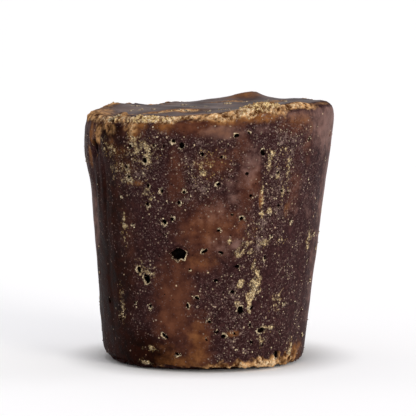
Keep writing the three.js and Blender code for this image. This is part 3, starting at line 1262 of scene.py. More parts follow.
@dataclass(frozen=True)
class HiddenSides:
    """What the sides and the back carry, drawn by seeded chance in the front's own mix."""

    seed: int = 7
    patch_bearings: Range = (84, 262)
    patch_heights: Range = (0.04, 0.95)
    pits: int = 110
    pits_behind: float = 0.8  # the share of them that lie at the sides and the back
    behind_bearings: Range = (62, 298)
    front_bearings: Range = (-58, 60)
    pit_heights: Range = (0.05, 0.93)
    pit_size: float = 3.6
    pit_spread: float = 0.28  # how much the sizes differ
    front_pit_size: float = 2.6
    clear_turn: float = 1.8  # millimetres round the wall to a degree
    pit_uneven: Range = (0.8, 1.3)
    pit_depths: Range = (0.8, 1.1)
    pit_tilts: Range = (-45, 45)
    pit_rims: Range = (0.2, 1.0)

    def draw_patches(self) -> list[Patch]:
        """Draws patches for the sides and the back.

        Returns:
            The patches.
        """
        chance = np.random.default_rng(self.seed)
        return [
            Patch(
                mix.zone,
                float(chance.uniform(*self.patch_bearings)),
                float(chance.uniform(*self.patch_heights)),
                float(chance.uniform(*mix.wide)),
                float(chance.uniform(*mix.tall)),
                float(chance.uniform(*mix.strength)),
            )
            for mix in PATCH_MIXES
            for _ in range(mix.count)
        ]

    def draw_pits(self) -> list[Pit]:
        """Draws pits for the sides and the back, and a few more small ones at the front.

        Returns:
            The pits, clear of one another.
        """
        chance = np.random.default_rng(self.seed + 1)
        more: list[Pit] = []
        while len(more) < self.pits:
            behind = len(more) < self.pits_behind * self.pits
            bearing = float(chance.uniform(*(self.behind_bearings if behind else self.front_bearings)))
            height = float(chance.uniform(*self.pit_heights))
            size = self.front_pit_size
            if behind:
                size = float(chance.lognormal(math.log(self.pit_size), self.pit_spread))
            if self._taken(bearing, height, size, [*PITS, *more]):
                continue
            across, tall = (size * float(chance.uniform(*self.pit_uneven)) for _ in range(2))
            deep = size * float(chance.uniform(*self.pit_depths))
            tilt, rim = (float(chance.uniform(*limits)) for limits in (self.pit_tilts, self.pit_rims))
            more.append(Pit(bearing, height, across, tall, deep, tilt, rim))
        return more

    def _taken(self, bearing: float, height: float, size: float, pits: list[Pit]) -> bool:
        """Whether a new pit of that size would touch one of these."""
        return any(
            abs(turn_between(pit.bearing, bearing)) * self.clear_turn < pit.across + size
            and abs(pit.height - height) * BLOCK_HEIGHT < pit.tall + size
            for pit in pits
        )


@dataclass(frozen=True)
class PitCutter:
    """Sinks burst bubbles into the skin, each with an uneven mouth, a crescent of crystals and painted shade
    inside.
    """

    layers: dict[Zone, bmesh.types.BMLayerItem]
    reach: float = 1.9  # how far round a pit it works, in mouth radii
    collar: float = 1.35  # where the skin round a pit is read, in mouth radii
    fewest: int = 6  # the vertices that it takes to read it
    upright: float = 0.8  # the slope over which a mouth counts as lying in the open top
    dish: Range = (0.2, 0.35)  # depth to width of an open dish, and of a hole dark with painted shade
    wobble: float = 0.3  # how uneven a mouth is
    wobble_pace: float = 1.8
    wobble_step: float = 3.1  # how far apart in the noise two mouths' outlines are
    crescent_step: float = 137.5  # turn from one pit's crescent to the next where it is left to chance
    snap: float = 0.3  # how near to the mouth's edge a vertex is moved onto it
    overhang: float = 1.0  # how far under the skin's level a vertex is lifted to it first
    crystals: tuple[float, float, float] = (0.2, 0.9, 0.5)  # least, crescent and unevenness of the rim
    crescent: float = 1.5  # how narrow the crescent is
    lip: float = 0.45  # how high the crystals stand
    dark: Range = (0.4, 5.0)  # painted shade: how dark a hole is at its edge, and how fast it darkens inwards
    cleared: float = 0.8  # the share of crust that a hole takes away
    ring_reach: float = 1.8  # how far out crystals lie, in mouth radii
    ring_middle: float = 1.03
    ring_wide: Range = (0.22, 0.36)  # the ring's width, and what the crescent adds
    ring_share: float = 1.2

    def sink(self, vertices: list[bmesh.types.BMVert], pit: Pit | Crater, spot: Spot, number: int) -> None:
        """Pushes one pit into the skin.

        Args:
            vertices: The skin's vertices round the pit.
            pit: The pit.
            spot: Its middle.
            number: Its number, which gives its mouth an outline of its own.
        """
        normal = spot.normal
        upwards = Vector((0.0, 0.0, 1.0)) if abs(normal.z) < self.upright else Vector((0.0, 1.0, 0.0))
        up = (upwards - normal * normal.dot(upwards)).normalized()
        up.rotate(Matrix.Rotation(math.radians(pit.tilt), 3, normal))
        side = up.cross(normal)
        thick = math.radians(self.crescent_step * number if pit.crescent is None else pit.crescent)
        hole = float(ramp(np.array(pit.deep / pit.across), *self.dish))
        least, crescent, uneven = self.crystals
        near = []
        for vertex in vertices:
            offset = vertex.co - spot.point
            a, b, rise = offset.dot(side) / MM, offset.dot(up) / MM, offset.dot(normal) / MM
            angle = math.atan2(b, a)
            outline = Vector((math.cos(angle), math.sin(angle), self.wobble_step * number))
            wobble = noise.noise(outline * self.wobble_pace)
            oval = math.hypot(pit.tall * math.cos(angle), pit.across * math.sin(angle))
            mouth = 0.5 * pit.across * pit.tall / oval * (1.0 + self.wobble * wobble)
            facing = (0.5 + 0.5 * math.cos(angle - thick)) ** self.crescent
            near.append((vertex, a, b, rise, mouth, least + crescent * facing + uneven * wobble))
        ring = [
            (1.0, a, b, rise)
            for _, a, b, rise, mouth, _ in near
            if math.hypot(a, b) > self.collar * mouth
        ]
        if len(ring) < self.fewest:
            return
        rows = np.array(ring)
        plane, *_ = np.linalg.lstsq(rows[:, :3], rows[:, 3], rcond=None)
        for vertex, a, b, rise, mouth, lit in near:
            out = math.hypot(a, b) / mouth
            level = float(plane @ np.array([1.0, a, b]))
            snap = self.snap / mouth
            if rise < level - self.overhang:
                vertex.co += normal * (level - rise) * MM
                rise = level
            lip = self.lip * pit.rim * max(0.0, lit)
            if out < 1.0 - snap:
                sunk = pit.deep * math.sqrt(1.0 - out**3)
                vertex.co += normal * (level - sunk - rise) * MM
                self._shade_pit(vertex, hole, out)
            elif out < 1.0 + snap:
                vertex.co += (side * a + up * b) * (1.0 / out - 1.0) * MM
                vertex.co += normal * (level + lip - rise) * MM
            if 1.0 - snap <= out < self.ring_reach:
                narrow, wider = self.ring_wide
                wide = (narrow + wider * max(0.0, lit)) / mouth
                share = float(heap(np.array((out - self.ring_middle) / wide)))
                rim = min(1.0, self.ring_share * pit.rim * share * lit)
                vertex[self.layers[Zone.RIM]] = max(vertex[self.layers[Zone.RIM]], rim)
                if out >= 1.0 + snap:
                    vertex.co += normal * lip * share * MM

    def _shade_pit(self, vertex: bmesh.types.BMVert, hole: float, out: float) -> None:
        """Marks a vertex as the inside of a pit, painting shade there that deepens inwards.

        Args:
            vertex: The vertex.
            hole: Whether the pit is an open dish or a hole dark with painted shade, from 0 to 1.
            out: How far out the vertex lies, in mouth radii.
        """
        edge, pace = self.dark
        dark = hole * min(1.0, pace * (1.0 - out) + edge)
        vertex[self.layers[Zone.PIT_SHADE]] = max(vertex[self.layers[Zone.PIT_SHADE]], dark)
        for zone in (Zone.CRUST, Zone.GRAIN, Zone.OCHRE):
            vertex[self.layers[zone]] *= 1.0 - self.cleared * hole


@dataclass
class BlockSkin:
    """The block itself: a fine copy of the solid, with its relief, its blowholes and its crust."""

    cad: bpy.types.Object
    compass: Compass
    name: str = "jaggery_body"
    finish: CastJaggery = CastJaggery()
    edges: CrustEdges = CrustEdges()
    hidden: HiddenSides = HiddenSides()
    weld: float = 0.01
    voxel: float = 2.42
    calm: float = 0.5  # how far one round of smoothing goes
    calm_rounds: int = 8  # rounds that it takes to smooth the solid's facets away
    # Where the skin counts as wall, as open top or as sole, by its slope.
    wall_under_top: Range = (0.75, 0.35)
    wall_over_sole: Range = (-0.9, -0.6)
    top_over_wall: Range = (0.3, 0.7)
    top_start: Range = (-6.0, -14.0)  # where the slate tone, a painted reflection, sets in, measured down from the brim
    # How the patches are laid on.
    wander: Wave = Wave(7, 11.0, 2.2)  # moves the patches' outlines
    least_wander: float = 0.25  # how far it moves a small one's, as a share of its half size
    flat_middle: float = 1.4  # above 1, a patch is even in its middle and ends sooner
    bloom_clumps: Wave = Wave(5.5, 17.0, 1.3)
    bloom_mean: float = 0.8
    bloom_limits: Range = (0.25, 1.15)
    bloom_solid: Range = (0.75, 1.0)  # from a bloom that clumps tear to one that they leave whole
    frost_ground: float = 0.3
    frost_patch: float = 0.6
    frost_clumps: tuple[Wave, ...] = (Wave(13, 8.0, 0.3), Wave(5, 6.0, 0.35), Wave(7, 5.0, 0.3, squash=0.2))
    frost_off_amber: float = 0.8
    frost_off_shade: float = 0.92
    # The relief of the wall, of the open top and of the crust.
    wall_swell: float = 0.35
    swells: tuple[Wave, ...] = (Wave(24, 1.0), Wave(10, 3.0, 0.5))
    wall_grain: float = 0.3
    grains: Wave = Wave(5, 12.0)
    top_wrinkle: float = 0.9
    wrinkles: tuple[Wave, ...] = (Wave(26, 14.0, 0.4, Form.TORN), Wave(11, 15.0, 0.5))
    fold_wander: Range = (30, 1.5)  # how long and how wide the bends in a fold are
    crust_rise: float = 1.8
    crust_ground: float = 0.1
    crust_lumps: tuple[Wave, ...] = (
        Wave(6.0, 1.0, 0.9, Form.LUMPS),
        Wave(4.5, 5.0, 0.35, Form.TORN),
        Wave(3.0, 9.0, 0.3, Form.LUMPS),
        Wave(9, 23.0, 0.5),
    )
    crest_range: Range = (-0.6, 0.7)  # the part of the lumps' height that goes from crease to crest
    grain_rise: float = 0.7
    grain_lumps: tuple[Wave, ...] = (Wave(2.4, 13.0, form=Form.LUMPS), Wave(3.0, 24.0, 0.5))
    still_sole: Range = (-0.98, -0.8)  # from the sole, which nothing moves, to the wall
    swell_slope: Range = (0.2, 0.6)  # from the wall to the open top, which swells lift
    # The foot: its torn edge, the worn corner at its left, and the notches that reach under it.
    foot_depth: float = 1.5  # how far up the foot's underside is pressed flat
    flat_sole: float = -0.999  # the slope of what is pressed flat
    foot_tear: float = 1.9
    tear_height: Range = (7.0, 1.0)  # from where it is whole to where it is torn most
    tear_slope: Range = (-0.95, -0.6)
    tear_turn: Range = (0.0, -30.0)  # from where it is torn once as deep to where it is twice
    tears: tuple[Wave, ...] = (Wave(5.0, 9.0), Wave(2.6, 10.0, 0.8))
    worn_tall: float = 13.0
    worn_deep: float = 4.0
    worn_turn: Range = (-78.0, 26.0)  # bearing of its middle, and half its width in degrees
    worn_hollow: float = 1.5  # above 1, the wear is deepest next to the floor
    foot_notch: float = 3.8  # how high the notches reach
    notch_height: Range = (6.0, 1.0)
    notch_ring: Range = (12.0, 3.0)  # how far in from the wall they start, and are whole
    notches: tuple[Wave, ...] = (Wave(6.5, 19.0), Wave(3.0, 20.0, 0.5))
    notch_range: Range = (-0.1, 0.5)
    notch_share: Range = (0.45, 0.55)  # how deep they are all round, and what the left of the front adds
    notch_turn: Range = (-38.0, 26.0)
    foot_gap: float = 3.4  # how high the edge is broken away at the front
    gap_turn: Range = (9.0, 21.0)
    # Where the mesh is made finer.
    fine_crust: float = 0.2  # the share of crust over which it is
    fine_foot: float = 8.0  # how high up the foot it is
    fine_slope: float = -0.99
    pit_levels: int = 2
    pit_step: float = 0.45  # how much nearer to a pit each level lies, in mouth radii
    pit_margin: float = 0.4

    def __post_init__(self) -> None:
        """Starts from a fine copy of the solid, with a layer for each zone."""
        self.shape = self._fine_copy()
        self.layers = {zone: self.shape.verts.layers.float.new(zone.value) for zone in Zone}
        self.cutter = PitCutter(self.layers)

    def build(self) -> Shape:
        """Makes the skin.

        Returns:
            The finished shape, with its zones in the layers.
        """
        for _ in range(self.calm_rounds):
            bmesh.ops.smooth_vert(
                self.shape,
                verts=self.shape.verts,
                factor=self.calm,
                use_axis_x=True,
                use_axis_y=True,
                use_axis_z=True,
            )
        self._paint()
        self._refine(self._crusted_edges())
        self._paint()
        self._relief()
        pits = [*PITS, *self.hidden.draw_pits()]
        spots: list[tuple[Pit | Crater, Spot]] = [(pit, self.compass.over(pit)) for pit in pits]
        spots += [(crater, self.compass.top(crater.x * MM, crater.y * MM)) for crater in CRATERS]
        for level in range(self.pit_levels):
            self._refine(self._pit_edges(spots, self.cutter.reach - self.pit_step * level))
        self._sink_all(spots)
        self._settle_foot()
        bmesh.ops.recalc_face_normals(self.shape, faces=self.shape.faces)
        for face in self.shape.faces:
            face.smooth = True
        return self.shape

    def dress(self) -> bpy.types.Object:
        """Turns the finished shape into the piece, with its finish."""
        return to_piece(self.shape, self.name, self.finish.make())

    def _fine_copy(self) -> Shape:
        """Copies the solid's mesh, merged and remeshed in even quads.

        Returns:
            The copy.
        """
        shape = bmesh.new()
        shape.from_mesh(self.cad.data)
        bmesh.ops.remove_doubles(shape, verts=shape.verts, dist=self.weld * MM)
        mesh = bpy.data.meshes.new("coarse_skin")
        shape.to_mesh(mesh)
        shape.free()
        coarse = bpy.data.objects.new("coarse_skin", mesh)
        bpy.context.scene.collection.objects.link(coarse)
        remesh = coarse.modifiers.new("even_quads", "REMESH")
        remesh.mode = "VOXEL"
        remesh.voxel_size = self.voxel * MM
        evaluated = coarse.evaluated_get(bpy.context.evaluated_depsgraph_get())
        fine = bmesh.new()
        fine.from_mesh(evaluated.to_mesh())
        evaluated.to_mesh_clear()
        bpy.data.objects.remove(coarse)
        bpy.data.meshes.remove(mesh)
        return fine

    def _survey(self) -> tuple[Survey, np.ndarray]:
        """Where every vertex lies, and its normal, one to a row."""
        self.shape.normal_update()
        points = np.array([vertex.co for vertex in self.shape.verts])
        normals = np.array([vertex.normal for vertex in self.shape.verts])
        return self.compass.survey(points, normals[:, 2]), normals

    def _store(self, zone: Zone, values: np.ndarray) -> None:
        """Gives every vertex its share of a zone."""
        layer = self.layers[zone]
        for vertex, share in zip(self.shape.verts, values.tolist()):
            vertex[layer] = share

    def _paint(self) -> None:
        """Works out every vertex's share of each zone, and stores it."""
        survey, _ = self._survey()
        on_wall = ramp(survey.slope, *self.wall_under_top) * ramp(survey.slope, *self.wall_over_sole)
        on_top = ramp(survey.slope, *self.top_over_wall)
        shares = {zone: np.zeros(len(on_wall)) for zone in Zone}
        wander = self.wander.at(survey.points)
        for patch in [*PATCHES, *self.hidden.draw_patches()]:
            right, up = survey.wall_from(patch.bearing, patch.height)
            reach = min(1.0, self.least_wander * min(patch.wide, patch.tall))
            away = np.hypot((right + reach * wander) / patch.wide, up / patch.tall)
            share = patch.strength * heap(away**self.flat_middle) * on_wall
            shares[patch.zone] = np.maximum(shares[patch.zone], share)
        for patch in TOP_PATCHES:
            x, y = survey.plan_from(patch.x, patch.y)
            away = np.hypot((x + wander) / patch.wide, (y + wander) / patch.deep)
            share = patch.strength * heap(away**self.flat_middle) * on_top
            shares[patch.zone] = np.maximum(shares[patch.zone], share)
        clumps = np.clip(self.bloom_mean + self.bloom_clumps.at(survey.points), *self.bloom_limits)
        shares[Zone.BLOOM] *= clumps + (1.0 - clumps) * ramp(shares[Zone.BLOOM], *self.bloom_solid)
        cover = self.edges.cover(survey)
        shares[Zone.CRUST] = np.clip(np.maximum(shares[Zone.CRUST], cover.crust), 0.0, 1.0)
        shares[Zone.GRAIN] = np.clip(np.maximum(shares[Zone.GRAIN], cover.grain), 0.0, 1.0)
        # The open top's slate tone, a painted reflection of the pale surround.
        shares[Zone.TOP] = on_top * ramp(survey.down, *self.top_start)
        shares[Zone.FROST] = self._frost(survey.points, shares) * on_wall
        for zone, values in shares.items():
            self._store(zone, values)

    def _frost(self, points: np.ndarray, shares: dict[Zone, np.ndarray]) -> np.ndarray:
        """Works out how densely each place would be specked if it lay on the wall.

        Args:
            points: Places in metres, one to a row.
            shares: The zones so far.

        Returns:
            The share of frost, in clumps and upright streaks, thin on amber and bare on mauve.
        """
        frost = pile(self.frost_clumps, points, self.frost_ground + self.frost_patch * shares[Zone.FROST])
        bare = np.maximum(self.frost_off_amber * shares[Zone.AMBER], shares[Zone.MAUVE_AND_SHEEN])
        dark = 1.0 - self.frost_off_shade * np.clip(shares[Zone.SHADE], 0.0, 1.0)
        return np.clip(frost, 0.0, 1.0) * np.clip(1.0 - bare, 0.0, 1.0) * dark

    def _crusted_edges(self) -> list[bmesh.types.BMEdge]:
        """The edges that lie in crust or at the foot's corner."""
        crust = self.layers[Zone.CRUST]
        fine = {
            vertex
            for vertex in self.shape.verts
            if vertex[crust] > self.fine_crust
            or (vertex.co.z < self.fine_foot * MM and vertex.normal.z > self.fine_slope)
        }
        return [edge for edge in self.shape.edges if all(vertex in fine for vertex in edge.verts)]

    def _pit_edges(self, spots: list[tuple[Pit | Crater, Spot]], reach: float) -> list[bmesh.types.BMEdge]:
        """Finds the edges that lie at a pit.

        Args:
            spots: The pits and their middles.
            reach: How far round a pit the edges may lie, in mouth radii.

        Returns:
            The edges.
        """
        tree = self._vertex_tree()
        near: set[int] = set()
        for pit, spot in spots:
            radius = reach * 0.5 * max(pit.across, pit.tall) * MM + self.pit_margin * MM
            near.update(index for _, index, _ in tree.find_range(spot.point, radius))
        return [edge for edge in self.shape.edges if all(v.index in near for v in edge.verts)]

    def _vertex_tree(self) -> KDTree:
        """A tree that finds the vertices near a place."""
        self.shape.verts.ensure_lookup_table()
        self.shape.verts.index_update()
        tree = KDTree(len(self.shape.verts))
        for vertex in self.shape.verts:
            tree.insert(vertex.co, vertex.index)
        tree.balance()
        return tree

    def _refine(self, edges: list[bmesh.types.BMEdge]) -> None:
        """Halves these edges."""
        bmesh.ops.subdivide_edges(self.shape, edges=edges, cuts=1, use_grid_fill=True)

    def _relief(self) -> None:
        """Moves the skin in and out: swells, folds, wrinkles, torn crust and the foot's ragged edge."""
        survey, normals = self._survey()
        points = survey.points
        crust, grain, frost, top = (
            np.array([vertex[self.layers[zone]] for vertex in self.shape.verts])
            for zone in (Zone.CRUST, Zone.GRAIN, Zone.FROST, Zone.TOP)
        )
        out = self.wall_swell * pile(self.swells, points)
        out += self.wall_grain * frost * self.grains.at(points)
        out += self.top_wrinkle * top * pile(self.wrinkles, points)
        out += self._folds(survey)
        lumps = pile(self.crust_lumps, points)
        out += self.crust_rise * crust * (lumps + self.crust_ground)
        out += self.grain_rise * grain * pile(self.grain_lumps, points)
        out += self.edges.cover(survey).proud
        self._store(Zone.CREST, ramp(lumps, *self.crest_range))
        out += self._torn_foot(survey)
        out *= ramp(survey.slope, *self.still_sole)
        lift = self._notches(survey)
        for swell in TOP_SWELLS:
            x, y = survey.plan_from(swell.x, swell.y)
            heaped = heap(np.hypot(x / swell.wide, y / swell.deep))
            lift += swell.rise * heaped * ramp(survey.slope, *self.swell_slope)
        for vertex, normal, step, raised in zip(
            self.shape.verts, normals.tolist(), out.tolist(), lift.tolist()
        ):
            vertex.co += Vector(normal) * step * MM
            vertex.co.z += raised * MM

    def _folds(self, survey: Survey) -> np.ndarray:
        """Works out the upright ridges and grooves of the wall.

        Args:
            survey: Where the vertices lie.

        Returns:
            How far each of them is moved out, in millimetres.
        """
        out = np.zeros(len(survey.points))
        heights = survey.points * np.array([0.0, 0.0, 1.0])
        long, wide = self.fold_wander
        for fold in FOLDS:
            right, up = survey.wall_from(fold.bearing, fold.height)
            bent = right + Wave(long, fold.bearing, wide).at(heights)
            out += fold.out * heap(bent / fold.wide) * heap(up / fold.tall)
        return out

    def _torn_foot(self, survey: Survey) -> np.ndarray:
        """Works out the foot's torn edge and the worn corner at its left.

        Args:
            survey: Where the vertices lie.

        Returns:
            How far each of them is moved out, in millimetres.
        """
        low = ramp(survey.over_floor, *self.tear_height) * ramp(survey.slope, *self.tear_slope)
        twice = 1.0 + ramp(survey.bearing, *self.tear_turn)
        corner = ramp(survey.over_floor, self.worn_tall, 0.0) ** self.worn_hollow
        middle, wide = self.worn_turn
        worn = self.worn_deep * corner * heap(survey.turn_from(middle) / wide)
        return self.foot_tear * low * twice * pile(self.tears, survey.points) - worn

    def _notches(self, survey: Survey) -> np.ndarray:
        """Works out the notches in the foot's edge, which are deepest at the left of the front.

        Args:
            survey: Where the vertices lie.

        Returns:
            How far each of them is lifted, in millimetres.
        """
        foot = float(survey.radius[survey.over_floor < self.foot_depth].max())
        start, whole = self.notch_ring
        ring = ramp(survey.radius, foot - start, foot - whole)
        bites = ramp(pile(self.notches, survey.points), *self.notch_range)
        (all_round, more), (left, left_wide) = self.notch_share, self.notch_turn
        deep = all_round + more * heap(survey.turn_from(left) / left_wide)
        middle, wide = self.gap_turn
        broken = self.foot_gap * heap(survey.turn_from(middle) / wide)
        low = ramp(survey.over_floor, *self.notch_height)
        return low * ring * (self.foot_notch * bites * deep + broken)

    def _sink_all(self, spots: list[tuple[Pit | Crater, Spot]]) -> None:
        """Pushes every pit into the skin.

        Args:
            spots: The pits and their middles.
        """
        tree = self._vertex_tree()
        for number, (pit, spot) in enumerate(spots):
            reach = 0.5 * max(pit.across, pit.tall) * MM * self.cutter.reach
            near = [self.shape.verts[index] for _, index, _ in tree.find_range(spot.point, reach)]
            self.cutter.sink(near, pit, spot, number)

    def _settle_foot(self) -> None:
        """Keeps the foot flat on the floor."""
        self.shape.normal_update()
        for vertex in self.shape.verts:
            under = vertex.normal.z < self.flat_sole and vertex.co.z < self.foot_depth * MM
            if under or vertex.co.z < 0.0:
                vertex.co.z = 0.0


@dataclass(frozen=True)
class Scatter:
    """Many small bits of one kind, bedded in the skin."""

    name: str
    count: int
    smallest: float
    largest: float
    bedded: float  # share of a bit's radius that is under the skin
    rugged: float  # how uneven the bits are
    seed: int
    round_bits: bool
    finish: GrainySugar
    rare_large: float = 2.2  # how much rarer large bits are than small ones
    dim: float = 1.0  # above 1, dark bits are commoner than pale ones
    kinds: int = 5
    stretch: Range = (0.7, 1.25)  # how much longer or shorter a bit is drawn each way
    cube: float = 1.3  # side of the cube that a round bit starts from

    def strew(self, skin: Shape, weight: np.ndarray) -> bpy.types.Object:
        """Strews the bits over the skin, as one piece with its finish."""
        return to_piece(self.build(skin, weight), self.name, self.finish.make())

    def build(self, skin: Shape, weight: np.ndarray) -> Shape:
        """Strews the bits over the skin.

        Args:
            skin: The finished skin.
            weight: How much each face is favoured, before its area is counted.

        Returns:
            All the bits in one shape, with a layer for each bit's tone.
        """
        chance = np.random.default_rng(self.seed)
        templates = [self._template(chance) for _ in range(self.kinds)]
        skin.faces.ensure_lookup_table()
        areas = np.array([face.calc_area() for face in skin.faces])
        odds = weight * areas
        picks = chance.choice(len(areas), size=self.count, p=odds / odds.sum())
        heaped = bmesh.new()
        tone = heaped.verts.layers.float.new(self.finish.tone)
        shades: list[float] = []
        for pick in picks:
            face = skin.faces[int(pick)]
            point = self._point_in(face, chance)
            size = self.smallest + (self.largest - self.smallest) * float(chance.uniform()) ** self.rare_large
            mesh = templates[int(chance.integers(self.kinds))].copy()
            stretch = chance.uniform(*self.stretch, 3)
            turn = Vector(chance.normal(size=3)).to_track_quat("Z", "Y").to_matrix().to_4x4()
            place = Matrix.Translation(point + face.normal * size * (0.5 - self.bedded) * MM)
            mesh.transform(place @ turn @ Matrix.Diagonal((*stretch, 1.0)) @ Matrix.Scale(0.5 * size * MM, 4))
            heaped.from_mesh(mesh)
            shades += [float(chance.uniform()) ** self.dim] * len(mesh.vertices)
            bpy.data.meshes.remove(mesh)
        for vertex, shade in zip(heaped.verts, shades):
            vertex[tone] = shade
        for template in templates:
            bpy.data.meshes.remove(template)
        return heaped

    def _point_in(self, face: bmesh.types.BMFace, chance: np.random.Generator) -> Vector:
        """A random place on a face."""
        shares = chance.dirichlet(np.ones(len(face.verts)))
        return sum((v.co * float(s) for v, s in zip(face.verts, shares)), Vector())

    def _template(self, chance: np.random.Generator) -> bpy.types.Mesh:
        """Makes one uneven bit, two units across.

        Args:
            chance: Draws how uneven it is.

        Returns:
            The bit.
        """
        bit = bmesh.new()
        if self.round_bits:
            bmesh.ops.create_cube(bit, size=self.cube)
            bmesh.ops.subdivide_edges(bit, edges=bit.edges, cuts=1, smooth=1.0, use_grid_fill=True)
        else:
            bmesh.ops.create_icosphere(bit, subdivisions=1, radius=1.0)
        for vertex in bit.verts:
            vertex.co *= float(chance.uniform(1.0 - self.rugged, 1.0 + self.rugged))
        for face in bit.faces:
            face.smooth = self.round_bits
        mesh = bpy.data.meshes.new("bit")
        bit.to_mesh(mesh)
        bit.free()
        return mesh


def face_zone(skin: Shape, zone: Zone) -> np.ndarray:
    """A zone's mean share on each face of the skin."""
    layer = skin.verts.layers.float[zone.value]
    return np.array([sum(v[layer] for v in face.verts) / len(face.verts) for face in skin.faces])


def bare_faces(skin: Shape, lowest: float) -> np.ndarray:
    """Finds the faces that loose bits may lie on.

    Args:
        skin: The finished skin.
        lowest: How far over the floor a bit has to lie.

    Returns:
        For each face, 1 where bits may lie and 0 in a pit or next to the floor.
    """
    out_of_pits = 1.0 - np.clip(2.0 * face_zone(skin, Zone.PIT_SHADE), 0.0, 1.0)
    clear = np.array([face.calc_center_median().z > lowest * MM for face in skin.faces])
    return out_of_pits * clear


@dataclass(frozen=True)
class CrustCrumbs:
    """The crumbs that cling to the granular crust."""

    lowest: float = 10.0  # how far over the floor they lie
    least_grain: float = 0.5  # the share of granular crust that none lie below
    bits: Scatter = Scatter(
        "crust_crumbs",
        count=430,
        smallest=0.6,
        largest=2.0,
        bedded=0.38,
        rugged=0.12,
        seed=21,
        round_bits=True,
        finish=GrainySugar("sugar_crust_dried_and_crumbled", "6a4220", "dcc08a", 0.85),
    )

    def make(self, skin: Shape) -> bpy.types.Object:
        """Strews the crumbs over the crust.

        Args:
            skin: The finished skin.

        Returns:
            The piece.
        """
        weight = np.clip(face_zone(skin, Zone.GRAIN) - self.least_grain, 0.0, 1.0)
        return self.bits.strew(skin, weight * bare_faces(skin, self.lowest))


@dataclass(frozen=True)
class SugarCrystals:
    """The fine crystals that stand on the specked wall, on the lace and on the rims of the pits."""

    lowest: float = 2.0  # how far over the floor they lie
    on_frost: float = 0.12
    frost_power: float = 3  # above 1, they keep to the densest specks
    on_bloom: float = 1.2
    least_bloom: float = 0.35
    on_rim: float = 0.8
    off_mauve: float = 1.3
    bits: Scatter = Scatter(
        "sugar_crystals",
        count=5600,
        smallest=0.4,
        largest=1.5,
        bedded=0.25,
        rugged=0.2,
        seed=22,
        round_bits=False,
        finish=GrainySugar("sugar_crystals_grained_on_skin", "503c33", "dcc8a4", 0.5),
        rare_large=2.6,
        dim=1.9,
    )

    def make(self, skin: Shape) -> bpy.types.Object:
        """Strews the crystals over the skin.

        Args:
            skin: The finished skin.

        Returns:
            The piece.
        """
        zones = (Zone.FROST, Zone.BLOOM, Zone.RIM, Zone.MAUVE_AND_SHEEN)
        frost, bloom, rim, mauve = (face_zone(skin, zone) for zone in zones)
        still = 1.0 - np.clip(self.off_mauve * mauve, 0.0, 1.0)
        lacy = np.clip(bloom - self.least_bloom, 0.0, 1.0)
        weight = self.on_frost * frost**self.frost_power + self.on_bloom * lacy + self.on_rim * rim
        return self.bits.strew(skin, weight * bare_faces(skin, self.lowest) * still)


# --------------------------------------------------------------------------------------- the studio


@dataclass(frozen=True)
class SunLight:
    """A broad, soft light from one direction."""

    name: str
    bearing: float  # where it comes from, in degrees from the front towards +X
    elevation: float  # its height over the floor, in degrees
    spread: float  # how wide it is seen, in degrees
    strength: float
    colour: str

    def hang(self) -> None:
        """Puts the light in the scene."""
        light = bpy.data.lights.new(self.name, "SUN")
        light.energy = self.strength
        light.angle = math.radians(self.spread)
        light.color = linear(self.colour)[:3]
        lamp = bpy.data.objects.new(self.name, light)
        bpy.context.scene.collection.objects.link(lamp)
        level, rise = math.radians(self.bearing), math.radians(self.elevation)
        towards = Vector(
            (math.sin(level) * math.cos(rise), -math.cos(level) * math.cos(rise), math.sin(rise))
        )
        lamp.rotation_euler = towards.to_track_quat("Z", "Y").to_euler()


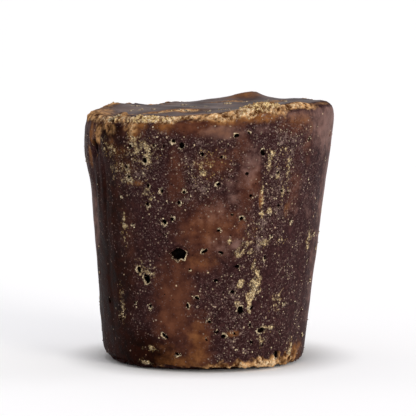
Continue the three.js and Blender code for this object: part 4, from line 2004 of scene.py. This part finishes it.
@dataclass
class Studio:
    """The plain floor, the soft lights and the camera."""

    distance: float = 2300.0
    elevation: float = 6.0
    aside: float = 4.2
    aim: float = 135.6
    stand: float = 116.5  # the height that the camera's place is measured from
    lens: float = 220.0
    clip_end: float = 100.0  # in metres
    floor: float = 30000.0
    floor_gap: float = 0.2  # how far the floor lies under the foot
    surround_colour: str = "f6f6fa"
    surround_strength: float = 0.5
    view: str = "Standard"  # shows colours as they are
    lights: tuple[SunLight, ...] = (
        SunLight("key", 42, 14, 25, 1.6, "fffaf4"),
        SunLight("right rim", 105, 12, 30, 0.9, "f4f4ff"),
        SunLight("left rim", -112, 12, 30, 0.3, "fff0e6"),
        SunLight("overhead", 0, 88, 16, 1.5, "fbfaff"),
    )

    def set_up(self) -> None:
        """Makes the floor, the world, the lights and the camera."""
        self._floor()
        self._world()
        for light in self.lights:
            light.hang()
        self._camera()
        bpy.context.scene.view_settings.view_transform = self.view

    def _floor(self) -> None:
        """Lays a wide pale floor, just under the foot."""
        sheet = bmesh.new()
        bmesh.ops.create_grid(sheet, x_segments=1, y_segments=1, size=self.floor * MM)
        bmesh.ops.translate(sheet, verts=sheet.verts, vec=(0.0, 0.0, -self.floor_gap * MM))
        to_piece(sheet, "floor", MattBoard().make())

    def _world(self) -> None:
        """Makes an even, pale surround."""
        world = bpy.data.worlds.new("surround")
        bpy.context.scene.world = world
        world.use_nodes = True
        background = world.node_tree.nodes["Background"]
        background.inputs["Color"].default_value = linear(self.surround_colour)
        background.inputs["Strength"].default_value = self.surround_strength

    def _camera(self) -> None:
        """Sets a long lens in front of the block and a little above it."""
        data = bpy.data.cameras.new("camera")
        data.lens = self.lens
        data.clip_end = self.clip_end
        camera = bpy.data.objects.new("camera", data)
        bpy.context.scene.collection.objects.link(camera)
        rise = math.radians(self.elevation)
        back = Vector((0.0, -math.cos(rise), math.sin(rise)))
        camera.location = Vector((self.aside, 0.0, self.stand)) * MM + back * self.distance * MM
        look = Vector((self.aside, 0.0, self.aim)) * MM - camera.location
        camera.rotation_euler = look.to_track_quat("-Z", "Y").to_euler()
        bpy.context.scene.camera = camera


def main() -> None:
    """Builds the block's pieces and the studio, and hands each piece to the frame."""
    logging.basicConfig(level=logging.INFO, format="%(name)s: %(message)s")
    noise.seed_set(NOISE_SEED)
    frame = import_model()
    Studio().set_up()
    cad = frame["nodes"][CAD_NODE]
    block = BlockSkin(cad, Compass(cad.data))
    skin = block.build()
    crumbs, crystals = CrustCrumbs().make(skin), SugarCrystals().make(skin)
    body = block.dress()
    for piece in (body, crumbs, crystals):
        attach(piece, CAD_BODY)
    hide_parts(CAD_NODE)


if __name__ == "__main__":
    main()
